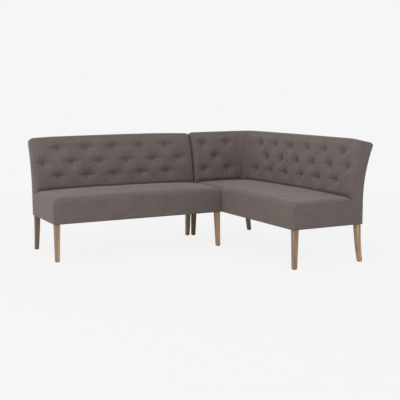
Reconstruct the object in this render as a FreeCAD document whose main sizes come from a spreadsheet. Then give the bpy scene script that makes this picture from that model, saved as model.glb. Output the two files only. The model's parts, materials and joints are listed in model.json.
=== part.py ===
import FreeCAD, Part
import math
import operator
import os
import Sketcher

# A corner banquette: a straight bench and a corner bench that stand side by side.
# Each module is drawn in its own frame: X along its front edge, Y from the front
# to the rear, Z up from the floor. Lengths are in millimetres, angles in degrees.

DRIVING_SIZES = {
    # the two modules
    "bench_length": 1400.0,
    "corner_length": 1650.0,
    "seat_depth": 600.0,
    "module_gap": 0.6,
    # skins, running gap and the overrun of the cutting shapes
    "skin": 2.4,
    "gap": 0.3,
    "overrun": 60.0,
    # upholstered base
    "seat_height": 480.0,
    "apron_height": 196.0,
    "seat_crown": 16.0,
    "seat_lift": 12.0,
    "seat_edge_round": 38.0,
    "seat_end_draw": 13.0,
    # back: a slab bent about a level axis behind the seat
    "back_thickness": 105.0,
    "back_curve_drop": 34.0,
    "back_curve_radius": 1050.0,
    "back_sweep": 23.6,
    "back_top_round": 26.0,
    "back_top_pad": 15.0,
    "back_pad": 25.2,
    "back_pad_drop": 40.0,
    "open_end_round": 30.0,
    "joint_end_round": 40.0,
    # tufts and their covered buttons
    "tuft_depth": 15.0,
    "tuft_radius": 34.0,
    "tuft_fold": 62.0,
    "tuft_floor_radius": 13.0,
    "button_radius": 11.0,
    "button_rim": 2.0,
    "button_height": 6.0,
    "button_low_row_rise": 111.0,
    "button_row_pitch": 109.0,
    "bench_button_pitch": 236.0,
    "bench_low_start": 199.0,
    "bench_middle_start": 77.0,
    "bench_high_start": 207.0,
    "short_button_pitch": 234.0,
    "short_low_start": 99.0,
    "short_middle_start": 218.0,
    "short_high_start": 113.0,
    "long_low_pitch": 227.0,
    "long_middle_pitch": 223.0,
    "long_high_pitch": 232.0,
    "long_outer_start": 298.0,
    "long_middle_start": 439.0,
    # timber frame
    "rail_thickness": 24.0,
    "seat_build": 82.0,
    "cross_rail_height": 60.0,
    "post_width": 24.0,
    "post_depth": 37.0,
    "post_tail_depth": 60.0,
    "post_knee": 20.0,
    "short_post_tail": 54.0,
    "short_post_place": 430.0,
    "long_post_place": 130.0,
    "frame_block": 90.0,
    "frame_block_nose": 12.0,
    "frame_block_height": 40.0,
    "back_rail_sweep": 3.4,
    "lower_rail_angle": 1.0,
    # webbing and the sheet under the seat
    "strap_width": 50.0,
    "strap_thickness": 1.5,
    "strap_margin": 3.0,
    "first_long_strap": 90.0,
    "long_strap_pitch": 103.0,
    "back_strap_sweep": 3.0,
    "first_back_strap_angle": 6.2,
    "back_strap_step_angle": 3.7,
    "dust_cover": 1.2,
    "dust_cover_margin": 20.0,
    "dust_cover_notch": 53.0,
    # legs
    "leg_inset": 9.0,
    "leg_top": 41.0,
    "leg_foot": 30.0,
    "leg_rake": 20.0,
    "leg_edge_ease": 2.0,
    "glide_height": 3.0,
    "glide_radius": 11.0,
    "glide_foot_radius": 9.5,
    # leg bolts
    "bolt_inset": 38.0,
    "bolt_radius": 4.0,
    "bolt_depth": 45.0,
    "bolt_hole_spare": 3.0,
    "bolt_head_radius": 7.5,
    "bolt_head": 5.5,
    # plates that tie the two modules together
    "plate_width": 30.0,
    "plate_thickness": 3.0,
    "screw_radius": 2.2,
    "screw_head_radius": 4.5,
    "screw_head": 2.5,
    "screw_depth": 24.0,
}

HALF_SHARE = 0.5
SEAT_STATION_SHARES = (0.0, 0.012, 0.13, 0.3, 0.5, 0.7, 0.87, 0.988, 1.0)
SEAT_END_CROWN_SHARE = 0.12
SEAT_CROWN_POWER = 4
SEAT_LIFT_POWER = 3
BACK_TOP_DRAW_SHARE = 0.35
FRONT_LEG_RAKE_SHARES = ((0.0, 0.0), (1.0, 0.0))
REAR_LEG_RAKE_SHARES = ((0.0, 1.0), (0.34, 0.46), (0.67, 0.12), (1.0, 0.0))
BENCH_POST_SHARES = (1 / 3, 2 / 3)
LONG_POST_SHARES = (0.25, 0.5, 0.75)
BENCH_CROSS_RAIL_SHARES = (0.25, 0.75)
CORNER_CROSS_RAIL_SHARES = (0.26, 0.5, 0.74)
PLATE_SHARES = (1 / 4, 2 / 3)
STRAPS_IN_BAY = 3
LONG_STRAPS = 4
BACK_STRAPS = 4
END_ROUND_STEPS = 3
TUFT_SIDES = 8
SEWING_TOLERANCE = 1e-4
BUTTON_SIDES = 8
BUTTON_CROWN_SHARE = 0.5
SMALL_ROUND_SIDES = 12
QUARTER_TURN = 90.0

OPERATIONS = {"+": operator.add, "-": operator.sub, "*": operator.mul, "/": operator.truediv}

doc = FreeCAD.newDocument("corner_banquette")
sheet = doc.addObject("Spreadsheet::Sheet", "Sizes")
finished_pieces = []


class Size:
    """A size with both its value and the sheet formula that it follows."""

    def __init__(self, value, formula):
        self.value = value
        self.formula = formula

    def __add__(self, other):
        return combine(self, other, "+")

    def __radd__(self, other):
        return combine(other, self, "+")

    def __sub__(self, other):
        return combine(self, other, "-")

    def __rsub__(self, other):
        return combine(other, self, "-")

    def __mul__(self, other):
        return combine(self, other, "*")

    def __rmul__(self, other):
        return combine(other, self, "*")

    def __truediv__(self, other):
        return combine(self, other, "/")

    def __neg__(self):
        return combine(0, self, "-")


def as_size(number):
    """Plain numbers join in as sizes with themselves as formula."""
    if isinstance(number, Size):
        return number
    return Size(float(number), repr(float(number)))


def combine(left, right, sign):
    """One arithmetic step, on the values and on the formulas."""
    left = as_size(left)
    right = as_size(right)
    formula = "(%s %s %s)" % (left.formula, sign, right.formula)
    return Size(OPERATIONS[sign](left.value, right.value), formula)


def cosine(angle):
    return Size(math.cos(math.radians(angle.value)), "cos(%s)" % angle.formula)


def sine(angle):
    return Size(math.sin(math.radians(angle.value)), "sin(%s)" % angle.formula)


def fill_sheet():
    """Writes the driving sizes as plain numbers with aliases."""
    sizes = {}
    for row, (alias, value) in enumerate(DRIVING_SIZES.items(), start=1):
        sheet.set("A%d" % row, alias)
        sheet.set("B%d" % row, str(value))
        sheet.setAlias("B%d" % row, alias)
        sizes[alias] = Size(value, "Sizes." + alias)
    doc.recompute()
    return sizes


S = fill_sheet()

# Derived sizes that several pieces share
inset = S["skin"] + S["gap"]
rail_face = inset + S["rail_thickness"]
apron_bottom = S["seat_height"] - S["apron_height"]
rail_top = S["seat_height"] - S["seat_build"]
rail_height = rail_top - apron_bottom
back_curve_start = S["seat_height"] - S["back_curve_drop"]
back_pad_bottom = S["seat_height"] - S["back_pad_drop"]
button_low_row = S["seat_height"] + S["button_low_row_rise"]
foam_bottom = rail_top + 2 * S["strap_thickness"]
seat_rear = S["seat_depth"] - S["back_thickness"]
frame_front = inset + S["post_depth"]
straps_front = frame_front + S["gap"] + S["strap_thickness"]
foam_front = S["back_thickness"] - S["back_pad"] - S["gap"]
tail_front = S["seat_depth"] - S["post_tail_depth"]
knee_top = back_pad_bottom - S["post_knee"] * HALF_SHARE
top_pad_angle = S["back_top_pad"] / S["back_curve_radius"] * math.degrees(1)
frame_sweep = S["back_sweep"] - top_pad_angle
back_lean = S["back_curve_radius"] * (1 - cosine(S["back_sweep"]))
bolt_hole = S["bolt_radius"] + S["gap"]
screw_hole = S["screw_radius"] + S["gap"]

# The whole part stands on the floor with its box centred on the origin
overall_length = S["bench_length"] + S["module_gap"] + S["seat_depth"] + back_lean
near_end = S["seat_depth"] - S["corner_length"]
far_end = S["seat_depth"] + back_lean
shift_x = -overall_length * HALF_SHARE
shift_y = -(near_end + far_end) * HALF_SHARE


def vector(x, y, z):
    return FreeCAD.Vector(as_size(x).value, as_size(y).value, as_size(z).value)


def placement(x, y, z, turn=0.0):
    return FreeCAD.Placement(vector(x, y, z), FreeCAD.Rotation(vector(0, 0, 1), turn))


corner_x = S["bench_length"] + S["module_gap"]
BENCH_FRAME = placement(shift_x, shift_y, 0)
CORNER_FRAME = placement(shift_x + corner_x, shift_y + S["seat_depth"], 0, -QUARTER_TURN)
SHORT_BACK_FRAME = placement(shift_x + corner_x, shift_y, 0)


def bind(item, path, size):
    """Ties a property to the sheet where its size comes from there."""
    item.setExpression(path, size.formula)


def finish(item, label, frame):
    """Names a sub-part and puts it in place."""
    item.Label = label
    item.Placement = frame
    finished_pieces.append(item)
    return item


def set_shape(label, shape, frame):
    """A sub-part whose form comes from the sizes through its own outline."""
    item = doc.addObject("Part::Feature", label)
    item.Shape = shape
    return finish(item, label, frame)


def box(name, length, width, height):
    item = doc.addObject("Part::Box", name)
    for side, size in (("Length", length), ("Width", width), ("Height", height)):
        bind(item, side, as_size(size))
    return item


def gather(kind, name, pieces):
    """A compound or fusion of pieces that were made before."""
    item = doc.addObject(kind, name)
    if kind == "Part::Compound":
        item.Links = pieces
    else:
        item.Shapes = pieces
    return item


def flat_loft(name, sections):
    """A solid through closed sections, with flat sides."""
    loft = doc.addObject("Part::Loft", name)
    loft.Sections = sections
    loft.Solid = True
    loft.Ruled = True
    loft.Linearize = True
    return loft


def many_sided(name, sides, levels):
    """A small round or hexagonal piece: polygons on levels, joined by flat sides."""
    sections = []
    for number, (radius, z) in enumerate(levels):
        section = doc.addObject("Part::RegularPolygon", "%s_level_%d" % (name, number))
        section.Polygon = sides
        bind(section, "Circumradius", as_size(radius))
        section.Placement = placement(0, 0, z)
        sections.append(section)
    return flat_loft(name, sections)


def bore(name, radius, depth, x, y, low):
    """The space of a drilled hole, from its low end up."""
    hole = many_sided(name, SMALL_ROUND_SIDES, [(radius, low), (radius, low + depth)])
    for section in hole.Sections:
        section.Placement = placement(x, y, 0).multiply(section.Placement)
    return hole


def cut(name, base, tool):
    item = doc.addObject("Part::Cut", name)
    item.Base = base
    item.Tool = tool
    return item


def copies(label, master, places, frame):
    """A group of equal solids, each a copy of one master."""
    solids = []
    for place in places:
        solid = master.Shape.copy()
        solid.Placement = place.multiply(master.Placement)
        solids.append(solid)
    return set_shape(label, Part.makeCompound(solids), frame)


# Sketches

def new_sketch(body, name, role, lift=None):
    sketch = body.newObject("Sketcher::SketchObject", name)
    plane = [item for item in body.Origin.OriginFeatures if item.Role == role][0]
    sketch.AttachmentSupport = (plane, [""])
    sketch.MapMode = "FlatFace"
    if lift is not None:
        sketch.AttachmentOffset = placement(0, 0, lift)
        bind(sketch, "AttachmentOffset.Base.z", as_size(lift))
    return sketch


def fix(sketch, axis, curve, point, size):
    """Holds one coordinate of a sketch point at a size from the origin."""
    size = as_size(size)
    number = sketch.addConstraint(Sketcher.Constraint(axis, -1, 1, curve, point, size.value))
    bind(sketch, "Constraints[%d]" % number, size)


def draw_outline(sketch, corners):
    """Closed outline of straight edges, and of arcs where a corner gives a centre."""
    curves = []
    for index, corner in enumerate(corners):
        after = corners[(index + 1) % len(corners)]
        start = vector(corner[0], corner[1], 0)
        end = vector(after[0], after[1], 0)
        if len(corner) == 2:
            curves.append(sketch.addGeometry(Part.LineSegment(start, end), False))
            continue
        centre = vector(corner[2], corner[3], 0)
        angles = [math.atan2(spot.y - centre.y, spot.x - centre.x) % math.tau for spot in (start, end)]
        circle = Part.Circle(centre, vector(0, 0, 1), centre.distanceToPoint(start))
        curves.append(sketch.addGeometry(Part.ArcOfCircle(circle, min(angles), max(angles)), False))
    tips = []
    for index, corner in enumerate(corners):
        after = corners[(index + 1) % len(corners)]
        turned = len(corner) == 4 and arc_is_turned(corner, after)
        tips.append((2, 1) if turned else (1, 2))
    for index, corner in enumerate(corners):
        following = (index + 1) % len(corners)
        joint = (curves[index], tips[index][1], curves[following], tips[following][0])
        sketch.addConstraint(Sketcher.Constraint("Coincident", *joint))
        for axis, size in held_coordinates(corners[index - 1], corner):
            fix(sketch, axis, curves[index], tips[index][0], size)
        if len(corner) == 4:
            fix(sketch, "DistanceX", curves[index], 3, corner[2])
            fix(sketch, "DistanceY", curves[index], 3, corner[3])


def held_coordinates(before, corner):
    """Both coordinates of a corner; past an arc only the one that its circle leaves open."""
    across = ("DistanceX", corner[0])
    upward = ("DistanceY", corner[1])
    if len(before) == 2:
        return [across, upward]
    away = vector(corner[0], corner[1], 0) - vector(before[2], before[3], 0)
    return [upward] if abs(away.x) > abs(away.y) else [across]


def arc_is_turned(corner, after):
    """True where the outline runs along the arc from its end to its start."""
    centre = vector(corner[2], corner[3], 0)
    spots = (vector(corner[0], corner[1], 0), vector(after[0], after[1], 0))
    angles = [math.atan2(spot.y - centre.y, spot.x - centre.x) % math.tau for spot in spots]
    return angles[0] > angles[1]


def padded_body(name, role, corners, height):
    """A body with one outline, padded to a height."""
    body = doc.addObject("PartDesign::Body", name)
    sketch = new_sketch(body, name + "_outline", role)
    draw_outline(sketch, corners)
    pad = body.newObject("PartDesign::Pad", name + "_pad")
    pad.Profile = sketch
    bind(pad, "Length", as_size(height))
    return body


def rectangle(x_low, x_high, y_low, y_high):
    return [(x_low, y_low), (x_high, y_low), (x_high, y_high), (x_low, y_high)]


# Outlines of the curved back, as points on circles about its level axis

def back_spot(x, depth, angle):
    """A point of the back, by its depth from the rear face and its angle up the curve."""
    radius = S["back_curve_radius"] + depth
    y = S["seat_depth"] + S["back_curve_radius"] - radius * cosine(as_size(angle))
    z = back_curve_start + radius * sine(as_size(angle))
    return vector(x, y, z)


def line(start, end):
    return Part.LineSegment(start, end).toShape()


def arc(start, middle, end):
    return Part.Arc(start, middle, end).toShape()


def back_arc(x, depth, low, high):
    middle = (low + high) * HALF_SHARE
    return arc(back_spot(x, depth, low), back_spot(x, depth, middle), back_spot(x, depth, high))


def band(x_low, x_high, rear, front, low, high):
    """A length of the bent slab between two angles."""
    edges = [
        back_arc(x_low, rear, low, high),
        line(back_spot(x_low, rear, high), back_spot(x_low, front, high)),
        back_arc(x_low, front, low, high),
        line(back_spot(x_low, front, low), back_spot(x_low, rear, low)),
    ]
    face = Part.Face(Part.Wire(Part.__sortEdges__(edges)))
    return face.extrude(vector(x_high - x_low, 0, 0))


def slab(x_low, x_high, rear, front, bottom, sweep):
    """The bent slab from a level below its curve up to an angle."""
    zero = as_size(0)
    rear_foot = vector(x_low, S["seat_depth"] - rear, bottom)
    front_foot = vector(x_low, S["seat_depth"] - front, bottom)
    edges = [
        line(rear_foot, back_spot(x_low, rear, zero)),
        back_arc(x_low, rear, zero, sweep),
        line(back_spot(x_low, rear, sweep), back_spot(x_low, front, sweep)),
        back_arc(x_low, front, zero, sweep),
        line(back_spot(x_low, front, zero), front_foot),
        line(front_foot, rear_foot),
    ]
    face = Part.Face(Part.Wire(Part.__sortEdges__(edges)))
    return face.extrude(vector(x_high - x_low, 0, 0))


def pad_section(x, draw):
    """Section of the padded back: bent front, rounded top edge, top sloping to the rear."""
    zero = as_size(0)
    front = S["back_thickness"] - draw
    drop = draw * BACK_TOP_DRAW_SHARE / S["back_curve_radius"] * math.degrees(1)
    sweep = S["back_sweep"] - drop
    rounding = S["back_top_round"].value
    centre_radius = (S["back_curve_radius"] + front).value - rounding
    turn = math.degrees(math.asin(rounding / centre_radius))
    flat_radius = math.sqrt(centre_radius ** 2 - rounding ** 2)
    centre = back_spot(x, front - rounding, sweep - turn)
    corner = back_spot(x, front, sweep)
    round_start = back_spot(x, front, sweep - turn)
    round_end = back_spot(x, as_size(flat_radius) - S["back_curve_radius"], sweep)
    round_middle = centre + (corner - centre).normalize() * rounding
    rear_foot = vector(x, S["seat_depth"] - inset, back_pad_bottom)
    front_foot = vector(x, S["seat_depth"] - front, back_pad_bottom)
    edges = [
        line(front_foot, back_spot(x, front, zero)),
        back_arc(x, front, zero, sweep - turn),
        arc(round_start, round_middle, round_end),
        line(round_end, back_spot(x, inset, sweep)),
        back_arc(x, inset, zero, sweep),
        line(back_spot(x, inset, zero), rear_foot),
        line(rear_foot, front_foot),
    ]
    return Part.Wire(Part.__sortEdges__(edges))


def rounded_stations(length, start_round, end_round):
    """Places along a pad and how far its front is drawn in there; no round at a mitre."""
    stations = []
    angles = [QUARTER_TURN * step / END_ROUND_STEPS for step in range(END_ROUND_STEPS + 1)]
    for angle in angles:
        away = 1 - math.cos(math.radians(angle))
        drawn = 1 - math.sin(math.radians(angle))
        if start_round is not None:
            stations.append((inset + start_round * away, start_round * drawn))
        if end_round is not None:
            stations.append((length - inset - end_round * away, end_round * drawn))
    if start_round is None:
        stations.append((-S["overrun"] - back_lean, as_size(0)))
    if end_round is None:
        stations.append((length + S["overrun"] + back_lean, as_size(0)))
    return sorted(stations, key=lambda station: station[0].value)


def tuft_tool():
    """Form of one tuft: a flat floor for the button, and folds that run out to its neighbours."""
    floor = ring(S["tuft_floor_radius"], S["tuft_floor_radius"], -S["tuft_depth"])
    mouth = ring(S["tuft_radius"], S["tuft_fold"], 0)
    above = ring(S["tuft_radius"], S["tuft_fold"], S["overrun"])
    faces = [facet(*floor), facet(*above)]
    for number in range(TUFT_SIDES):
        after = (number + 1) % TUFT_SIDES
        fold = number if number % 2 else after
        valley = after if number % 2 else number
        faces.append(facet(floor[number], floor[after], mouth[fold]))
        faces.append(facet(floor[valley], mouth[fold], mouth[valley]))
        faces.append(facet(mouth[number], mouth[after], above[after], above[number]))
    tool = Part.Solid(Part.Shell(faces))
    tool.fix(*[SEWING_TOLERANCE] * 3)
    return tool


def facet(*corners):
    return Part.Face(Part.makePolygon([*corners, corners[0]]))


def ring(valley_reach, fold_reach, z):
    """Corners of a closed outline that lie in turn on two circles."""
    corners = []
    for number in range(TUFT_SIDES):
        angle = math.tau * number / TUFT_SIDES
        radius = fold_reach if number % 2 else valley_reach
        corners.append(vector(radius * math.cos(angle), radius * math.sin(angle), z))
    return corners


def row_angle(height):
    """Angle up the curve of a row of buttons on the front face."""
    radius = S["back_curve_radius"] + S["back_thickness"]
    share = (height - back_curve_start).value / radius.value
    return math.degrees(math.asin(share))


def button_places(rows):
    """Where each button sits: on the front face, with its own Z pointing out of it."""
    places = []
    for row, spots in enumerate(rows):
        angle = row_angle(button_low_row + S["button_row_pitch"] * row)
        tilt = FreeCAD.Rotation(vector(1, 0, 0), QUARTER_TURN - angle)
        for x in spots:
            places.append(FreeCAD.Placement(back_spot(x, S["back_thickness"], angle), tilt))
    return places


def mitre_prism(length, start_mitred, end_mitred):
    """The space a back may fill, cut at 45 degrees where it meets its neighbour."""
    reach = S["overrun"] + back_lean
    rear = S["seat_depth"] + reach
    clear = S["gap"] * HALF_SHARE
    start_front = S["seat_depth"] + clear if start_mitred else -reach
    start_rear = clear - reach if start_mitred else -reach
    end_front = length - S["seat_depth"] - clear if end_mitred else length + reach
    end_rear = length + reach - clear if end_mitred else length + reach
    corners = [
        vector(start_front, 0, 0),
        vector(end_front, 0, 0),
        vector(end_rear, rear, 0),
        vector(start_rear, rear, 0),
        vector(start_front, 0, 0),
    ]
    return Part.Face(Part.makePolygon(corners)).extrude(vector(0, 0, rear + rear))


def tufted_pad(length, start_round, end_round, rows, prism):
    """The padded cover of a back, hollow behind for the frame and its foam."""
    stations = rounded_stations(length, start_round, end_round)
    sections = [pad_section(x, draw) for x, draw in stations]
    body = Part.makeLoft(sections, True, True)
    reach = S["overrun"]
    below = back_pad_bottom - reach
    span = (-reach - reach - back_lean, length + reach + reach + back_lean)
    frame_space = slab(*span, -reach, straps_front + S["gap"], below, frame_sweep)
    foam_low = inset + start_round if start_round is not None else span[0]
    foam_high = length - inset - end_round if end_round is not None else span[1]
    foam_space = slab(foam_low, foam_high, -reach, foam_front + S["gap"], below, frame_sweep)
    body = body.cut(frame_space.fuse(foam_space))
    tool = tuft_tool()
    tools = []
    for place in button_places(rows):
        dent = tool.copy()
        dent.Placement = place
        tools.append(dent)
    return body.cut(Part.makeCompound(tools)).common(prism)


# Cushion form of the seats

def seat_section(x, front, rear, bottom, top, swell, rounding, past=0):
    """Section of a seat: upright front, rounded edge, crowned top, with a run past its rear."""
    edge = rounding * (1 - math.sqrt(HALF_SHARE))
    corner_low = vector(x, front, top - rounding)
    corner_middle = vector(x, front + edge, top - edge)
    corner_high = vector(x, front + rounding, top)
    crown = vector(x, (front + rounding + rear) * HALF_SHARE, top + swell)
    rear_top = vector(x, rear, top)
    end = rear + past
    end_top = vector(x, end, top)
    edges = [
        line(vector(x, front, bottom), corner_low),
        arc(corner_low, corner_middle, corner_high),
        arc(corner_high, crown, rear_top) if swell.value > 0 else line(corner_high, rear_top),
        line(end_top, vector(x, end, bottom)),
        line(vector(x, end, bottom), vector(x, front, bottom)),
    ]
    if end.value > rear.value:
        edges.insert(3, line(rear_top, end_top))
    return Part.Wire(edges)


def seat_form(x_low, x_high, offset, bottom, spare):
    """Loft of seat sections, crowned along and across; spare runs it on past ends and rear."""
    sections = []
    for share in SEAT_STATION_SHARES:
        x = x_low + (x_high - x_low) * share
        at_end = share in (0.0, 1.0)
        draw = S["seat_end_draw"] if at_end else as_size(0)
        bulge = 1 - (1 - SEAT_END_CROWN_SHARE) * (2 * share - 1) ** SEAT_CROWN_POWER
        lift = S["seat_lift"] * (1 - abs(2 * share - 1) ** SEAT_LIFT_POWER)
        top = S["seat_height"] + lift - draw - offset
        rounding = S["seat_edge_round"] - offset
        rear = seat_rear - S["gap"]
        outline = (offset, rear, bottom, top, S["seat_crown"] * bulge, rounding, spare)
        if at_end and spare.value > 0:
            past = x - spare if share == 0.0 else x + spare
            sections.append((past.value, seat_section(past, *outline)))
        sections.append((x.value, seat_section(x, *outline)))
    sections.sort(key=lambda section: section[0])
    return Part.makeLoft([wire for place, wire in sections], True, True)


def seat_cover(label, x_low, x_high, frame):
    shell = seat_form(x_low, x_high, as_size(0), apron_bottom, as_size(0))
    below = apron_bottom - S["overrun"]
    hollow = seat_form(x_low, x_high, S["skin"], below, S["overrun"])
    set_shape(label, shell.cut(hollow), frame)


def seat_foam(label, x_low, x_high, frame):
    set_shape(label, seat_form(x_low, x_high, inset, foam_bottom, as_size(0)), frame)


def end_panel(x, back_draw, front):
    """One flat cloth panel over the end of the back and the end of the seat, from its front."""
    drop = back_draw * BACK_TOP_DRAW_SHARE / S["back_curve_radius"] * math.degrees(1)
    back = slab(x, x + S["skin"], as_size(0), S["back_thickness"] - back_draw,
                apron_bottom, S["back_sweep"] - drop)
    wire = seat_section(x, front, S["seat_depth"], apron_bottom,
                        S["seat_height"] - S["seat_end_draw"], as_size(0), S["seat_edge_round"])
    seat = Part.Face(wire).extrude(vector(S["skin"], 0, 0))
    return back.fuse(seat).removeSplitter()


# Timber frame

def plain_rail(label, x, y, length, width, height, frame):
    rail = box(label, length, width, height)
    return finish(rail, label, frame.multiply(placement(x, y, apron_bottom)))


def drilled(name, rail, spots):
    """Pilot holes for the joint screws, from the underside of a rail."""
    bores = []
    depth = S["screw_depth"] + S["gap"]
    for number, (x, y) in enumerate(spots):
        bores.append(bore("%s_bore_%d" % (name, number), screw_hole, depth, x, y, as_size(0)))
    return cut(name, rail, gather("Part::Compound", name + "_bores", bores))


def post_body(name, tail_bottom):
    """A post: lapped over the rear rail, then bent with the back."""
    depth = S["seat_depth"]
    centre = (depth + S["back_curve_radius"], back_curve_start)
    rear_radius = S["back_curve_radius"] + inset
    front_radius = S["back_curve_radius"] + frame_front
    across = cosine(frame_sweep)
    upward = sine(frame_sweep)
    corners = [
        (depth - rail_face, tail_bottom),
        (depth - rail_face, rail_top),
        (depth - inset, rail_top),
        (depth - inset, back_curve_start, *centre),
        (centre[0] - rear_radius * across, centre[1] + rear_radius * upward),
        (centre[0] - front_radius * across, centre[1] + front_radius * upward, *centre),
        (depth - frame_front, back_curve_start),
        (depth - frame_front, knee_top),
        (tail_front, knee_top - S["post_knee"]),
        (tail_front, tail_bottom),
    ]
    return padded_body(name, "YZ_Plane", corners, S["post_width"])


def back_frame(prefix, posts, span, tail_bottom, prism, frame):
    """Posts, the rails between them and the webbing over them."""
    master = post_body(prefix + "_post", tail_bottom)
    doc.recompute()
    copies(prefix + "_posts", master, [placement(x, 0, 0) for x in posts], frame)
    starts = [x + S["post_width"] for x in posts]
    bays = list(zip(starts[:-1], posts[1:]))
    if span[0].value < posts[0].value - S["post_width"].value:
        bays.insert(0, (span[0], posts[0]))
    if span[1].value > starts[-1].value + S["post_width"].value:
        bays.append((starts[-1], span[1]))
    rails = []
    for low, high in bays:
        for start in (S["lower_rail_angle"], frame_sweep - S["back_rail_sweep"]):
            rail = band(low, high, inset, frame_front, start, start + S["back_rail_sweep"])
            rails.append(rail.common(prism))
    set_shape(prefix + "_rails", Part.makeCompound(rails), frame)
    straps = []
    for number in range(BACK_STRAPS):
        start = S["first_back_strap_angle"] + S["back_strap_step_angle"] * number
        strap = band(bays[0][0] - S["post_width"], bays[-1][1] + S["post_width"],
                     frame_front + S["gap"], straps_front, start, start + S["back_strap_sweep"])
        straps.append(strap.common(prism))
    set_shape(prefix + "_webbing", Part.makeCompound(straps), frame)


def back_cushion(prefix, length, start_round, end_round, rows, prism, frame):
    """Foam, tufted cover, outside cover and buttons of one back."""
    far = S["overrun"] + back_lean
    foam_low = inset + start_round + S["gap"] if start_round is not None else -far
    foam_high = length - inset - end_round - S["gap"] if end_round is not None else length + far
    top = frame_sweep - S["gap"] / S["back_curve_radius"] * math.degrees(1)
    foam = slab(foam_low, foam_high, straps_front + S["gap"], foam_front,
                back_pad_bottom, top)
    set_shape(prefix + "_foam", foam.common(prism), frame)
    pad = tufted_pad(length, start_round, end_round, rows, prism)
    set_shape(prefix + "_tufted_cover", pad, frame)
    skin_low = inset if start_round is not None else -far
    skin_high = length - inset if end_round is not None else length + far
    skin = slab(skin_low, skin_high, as_size(0), S["skin"], apron_bottom, S["back_sweep"])
    set_shape(prefix + "_outside_cover", skin.common(prism), frame)
    seated = placement(0, 0, S["gap"] - S["tuft_depth"])
    places = [place.multiply(seated) for place in button_places(rows)]
    copies(prefix + "_buttons", button_master, places, frame)


def seat_frame(prefix, length, x_start, posts, cross_shares, joint_bores, far_rail, frame):
    """Base rails, corner blocks and webbing of one module."""
    depth = S["seat_depth"]
    long_side = length - 2 * inset
    front = box(prefix + "_front_timber", long_side, S["rail_thickness"], rail_height)
    if far_rail:
        front = drilled(prefix + "_bored_rail", front, joint_bores)
    finish(front, prefix + "_front_rail", frame.multiply(placement(inset, inset, apron_bottom)))
    plain_rail(prefix + "_rear_rail", inset, depth - rail_face, long_side,
               S["rail_thickness"], rail_height, frame)
    lapped = tail_front - rail_face
    full = depth - 2 * rail_face
    left = box(prefix + "_left_rail", S["rail_thickness"], full if far_rail else lapped,
               rail_height)
    left.Placement = placement(inset, rail_face, apron_bottom)
    right = box(prefix + "_right_rail", S["rail_thickness"], lapped, rail_height)
    if not far_rail:
        right = drilled(prefix + "_bored_rail", right, joint_bores)
    right.Placement = placement(length - rail_face, rail_face, apron_bottom)
    finish(gather("Part::Compound", prefix + "_end_rails", [left, right]),
           prefix + "_end_rails", frame)
    crosses = []
    for number, share in enumerate(cross_shares):
        cross = box("%s_cross_rail_%d" % (prefix, number), S["rail_thickness"], full,
                    S["cross_rail_height"])
        cross.Placement = placement(length * share, rail_face, apron_bottom)
        crosses.append(cross)
    finish(gather("Part::Compound", prefix + "_cross_rails", crosses),
           prefix + "_cross_rails", frame)
    right_side = length - rail_face
    rear_side = depth - rail_face
    corners = [
        placement(rail_face, rail_face, apron_bottom),
        placement(right_side, rail_face, apron_bottom, QUARTER_TURN),
        placement(right_side, rear_side, apron_bottom, 2 * QUARTER_TURN),
        placement(rail_face, rear_side, apron_bottom, 3 * QUARTER_TURN),
    ]
    copies(prefix + "_frame_blocks", block_master, corners, frame)
    seat_webbing(prefix, length, x_start, posts, frame)


def seat_webbing(prefix, length, x_start, posts, frame):
    """Straps from front to rear in the bays between the posts, and straps over them."""
    straps = []
    edges = [x_start] + [x for post in posts for x in (post, post + S["post_width"])]
    if posts[0].value < x_start.value + S["post_width"].value:
        edges = edges[2:]
    for low, high in zip(edges[0::2], edges[1::2]):
        free = high - low - STRAPS_IN_BAY * S["strap_width"]
        space = free / (STRAPS_IN_BAY + 1)
        if space.value <= 0:
            continue
        for number in range(STRAPS_IN_BAY):
            x = low + space * (number + 1) + S["strap_width"] * number
            name = "%s_strap_%d" % (prefix, len(straps))
            strap = box(name, S["strap_width"],
                        S["seat_depth"] - 2 * (inset + S["strap_margin"]), S["strap_thickness"])
            strap.Placement = placement(x, inset + S["strap_margin"], rail_top)
            straps.append(strap)
    for number in range(LONG_STRAPS):
        y = S["first_long_strap"] + S["long_strap_pitch"] * number - S["strap_width"] * HALF_SHARE
        name = "%s_strap_%d" % (prefix, len(straps))
        strap = box(name, length - 2 * (inset + S["strap_margin"]), S["strap_width"],
                    S["strap_thickness"])
        strap.Placement = placement(inset + S["strap_margin"], y, rail_top + S["strap_thickness"])
        straps.append(strap)
    finish(gather("Part::Compound", prefix + "_seat_webbing", straps),
           prefix + "_seat_webbing", frame)


def dust_cover(prefix, length, frame):
    """Thin cloth under the frame, cut out round the legs."""
    low = S["dust_cover_margin"]
    notch = S["dust_cover_notch"]
    right = length - low
    rear = S["seat_depth"] - low
    inner_right = length - notch
    inner_rear = S["seat_depth"] - notch
    outline = [
        (notch, low), (inner_right, low), (inner_right, notch), (right, notch),
        (right, inner_rear), (inner_right, inner_rear), (inner_right, rear), (notch, rear),
        (notch, inner_rear), (low, inner_rear), (low, notch), (notch, notch),
    ]
    body = padded_body(prefix + "_dust_cover", "XY_Plane", outline, S["dust_cover"])
    level = apron_bottom - S["dust_cover"]
    finish(body, prefix + "_dust_cover", frame.multiply(placement(0, 0, level)))


# Legs

def leg_body(name, sections, bolt_x, bolt_y):
    """A leg lofted through square sections with eased corners, bored on top for its bolt."""
    sketches = []
    for number, (height, outline) in enumerate(sections):
        sketch = doc.addObject("Sketcher::SketchObject", "%s_section_%d" % (name, number))
        draw_outline(sketch, outline)
        sketch.Placement = placement(0, 0, height)
        bind(sketch, "Placement.Base.z", as_size(height))
        sketches.append(sketch)
    loft = flat_loft(name + "_loft", sketches)
    depth = S["bolt_depth"] + S["bolt_hole_spare"]
    hole = bore(name + "_bore", bolt_hole, depth, bolt_x, bolt_y, apron_bottom - depth)
    return cut(name, loft, hole)


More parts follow.
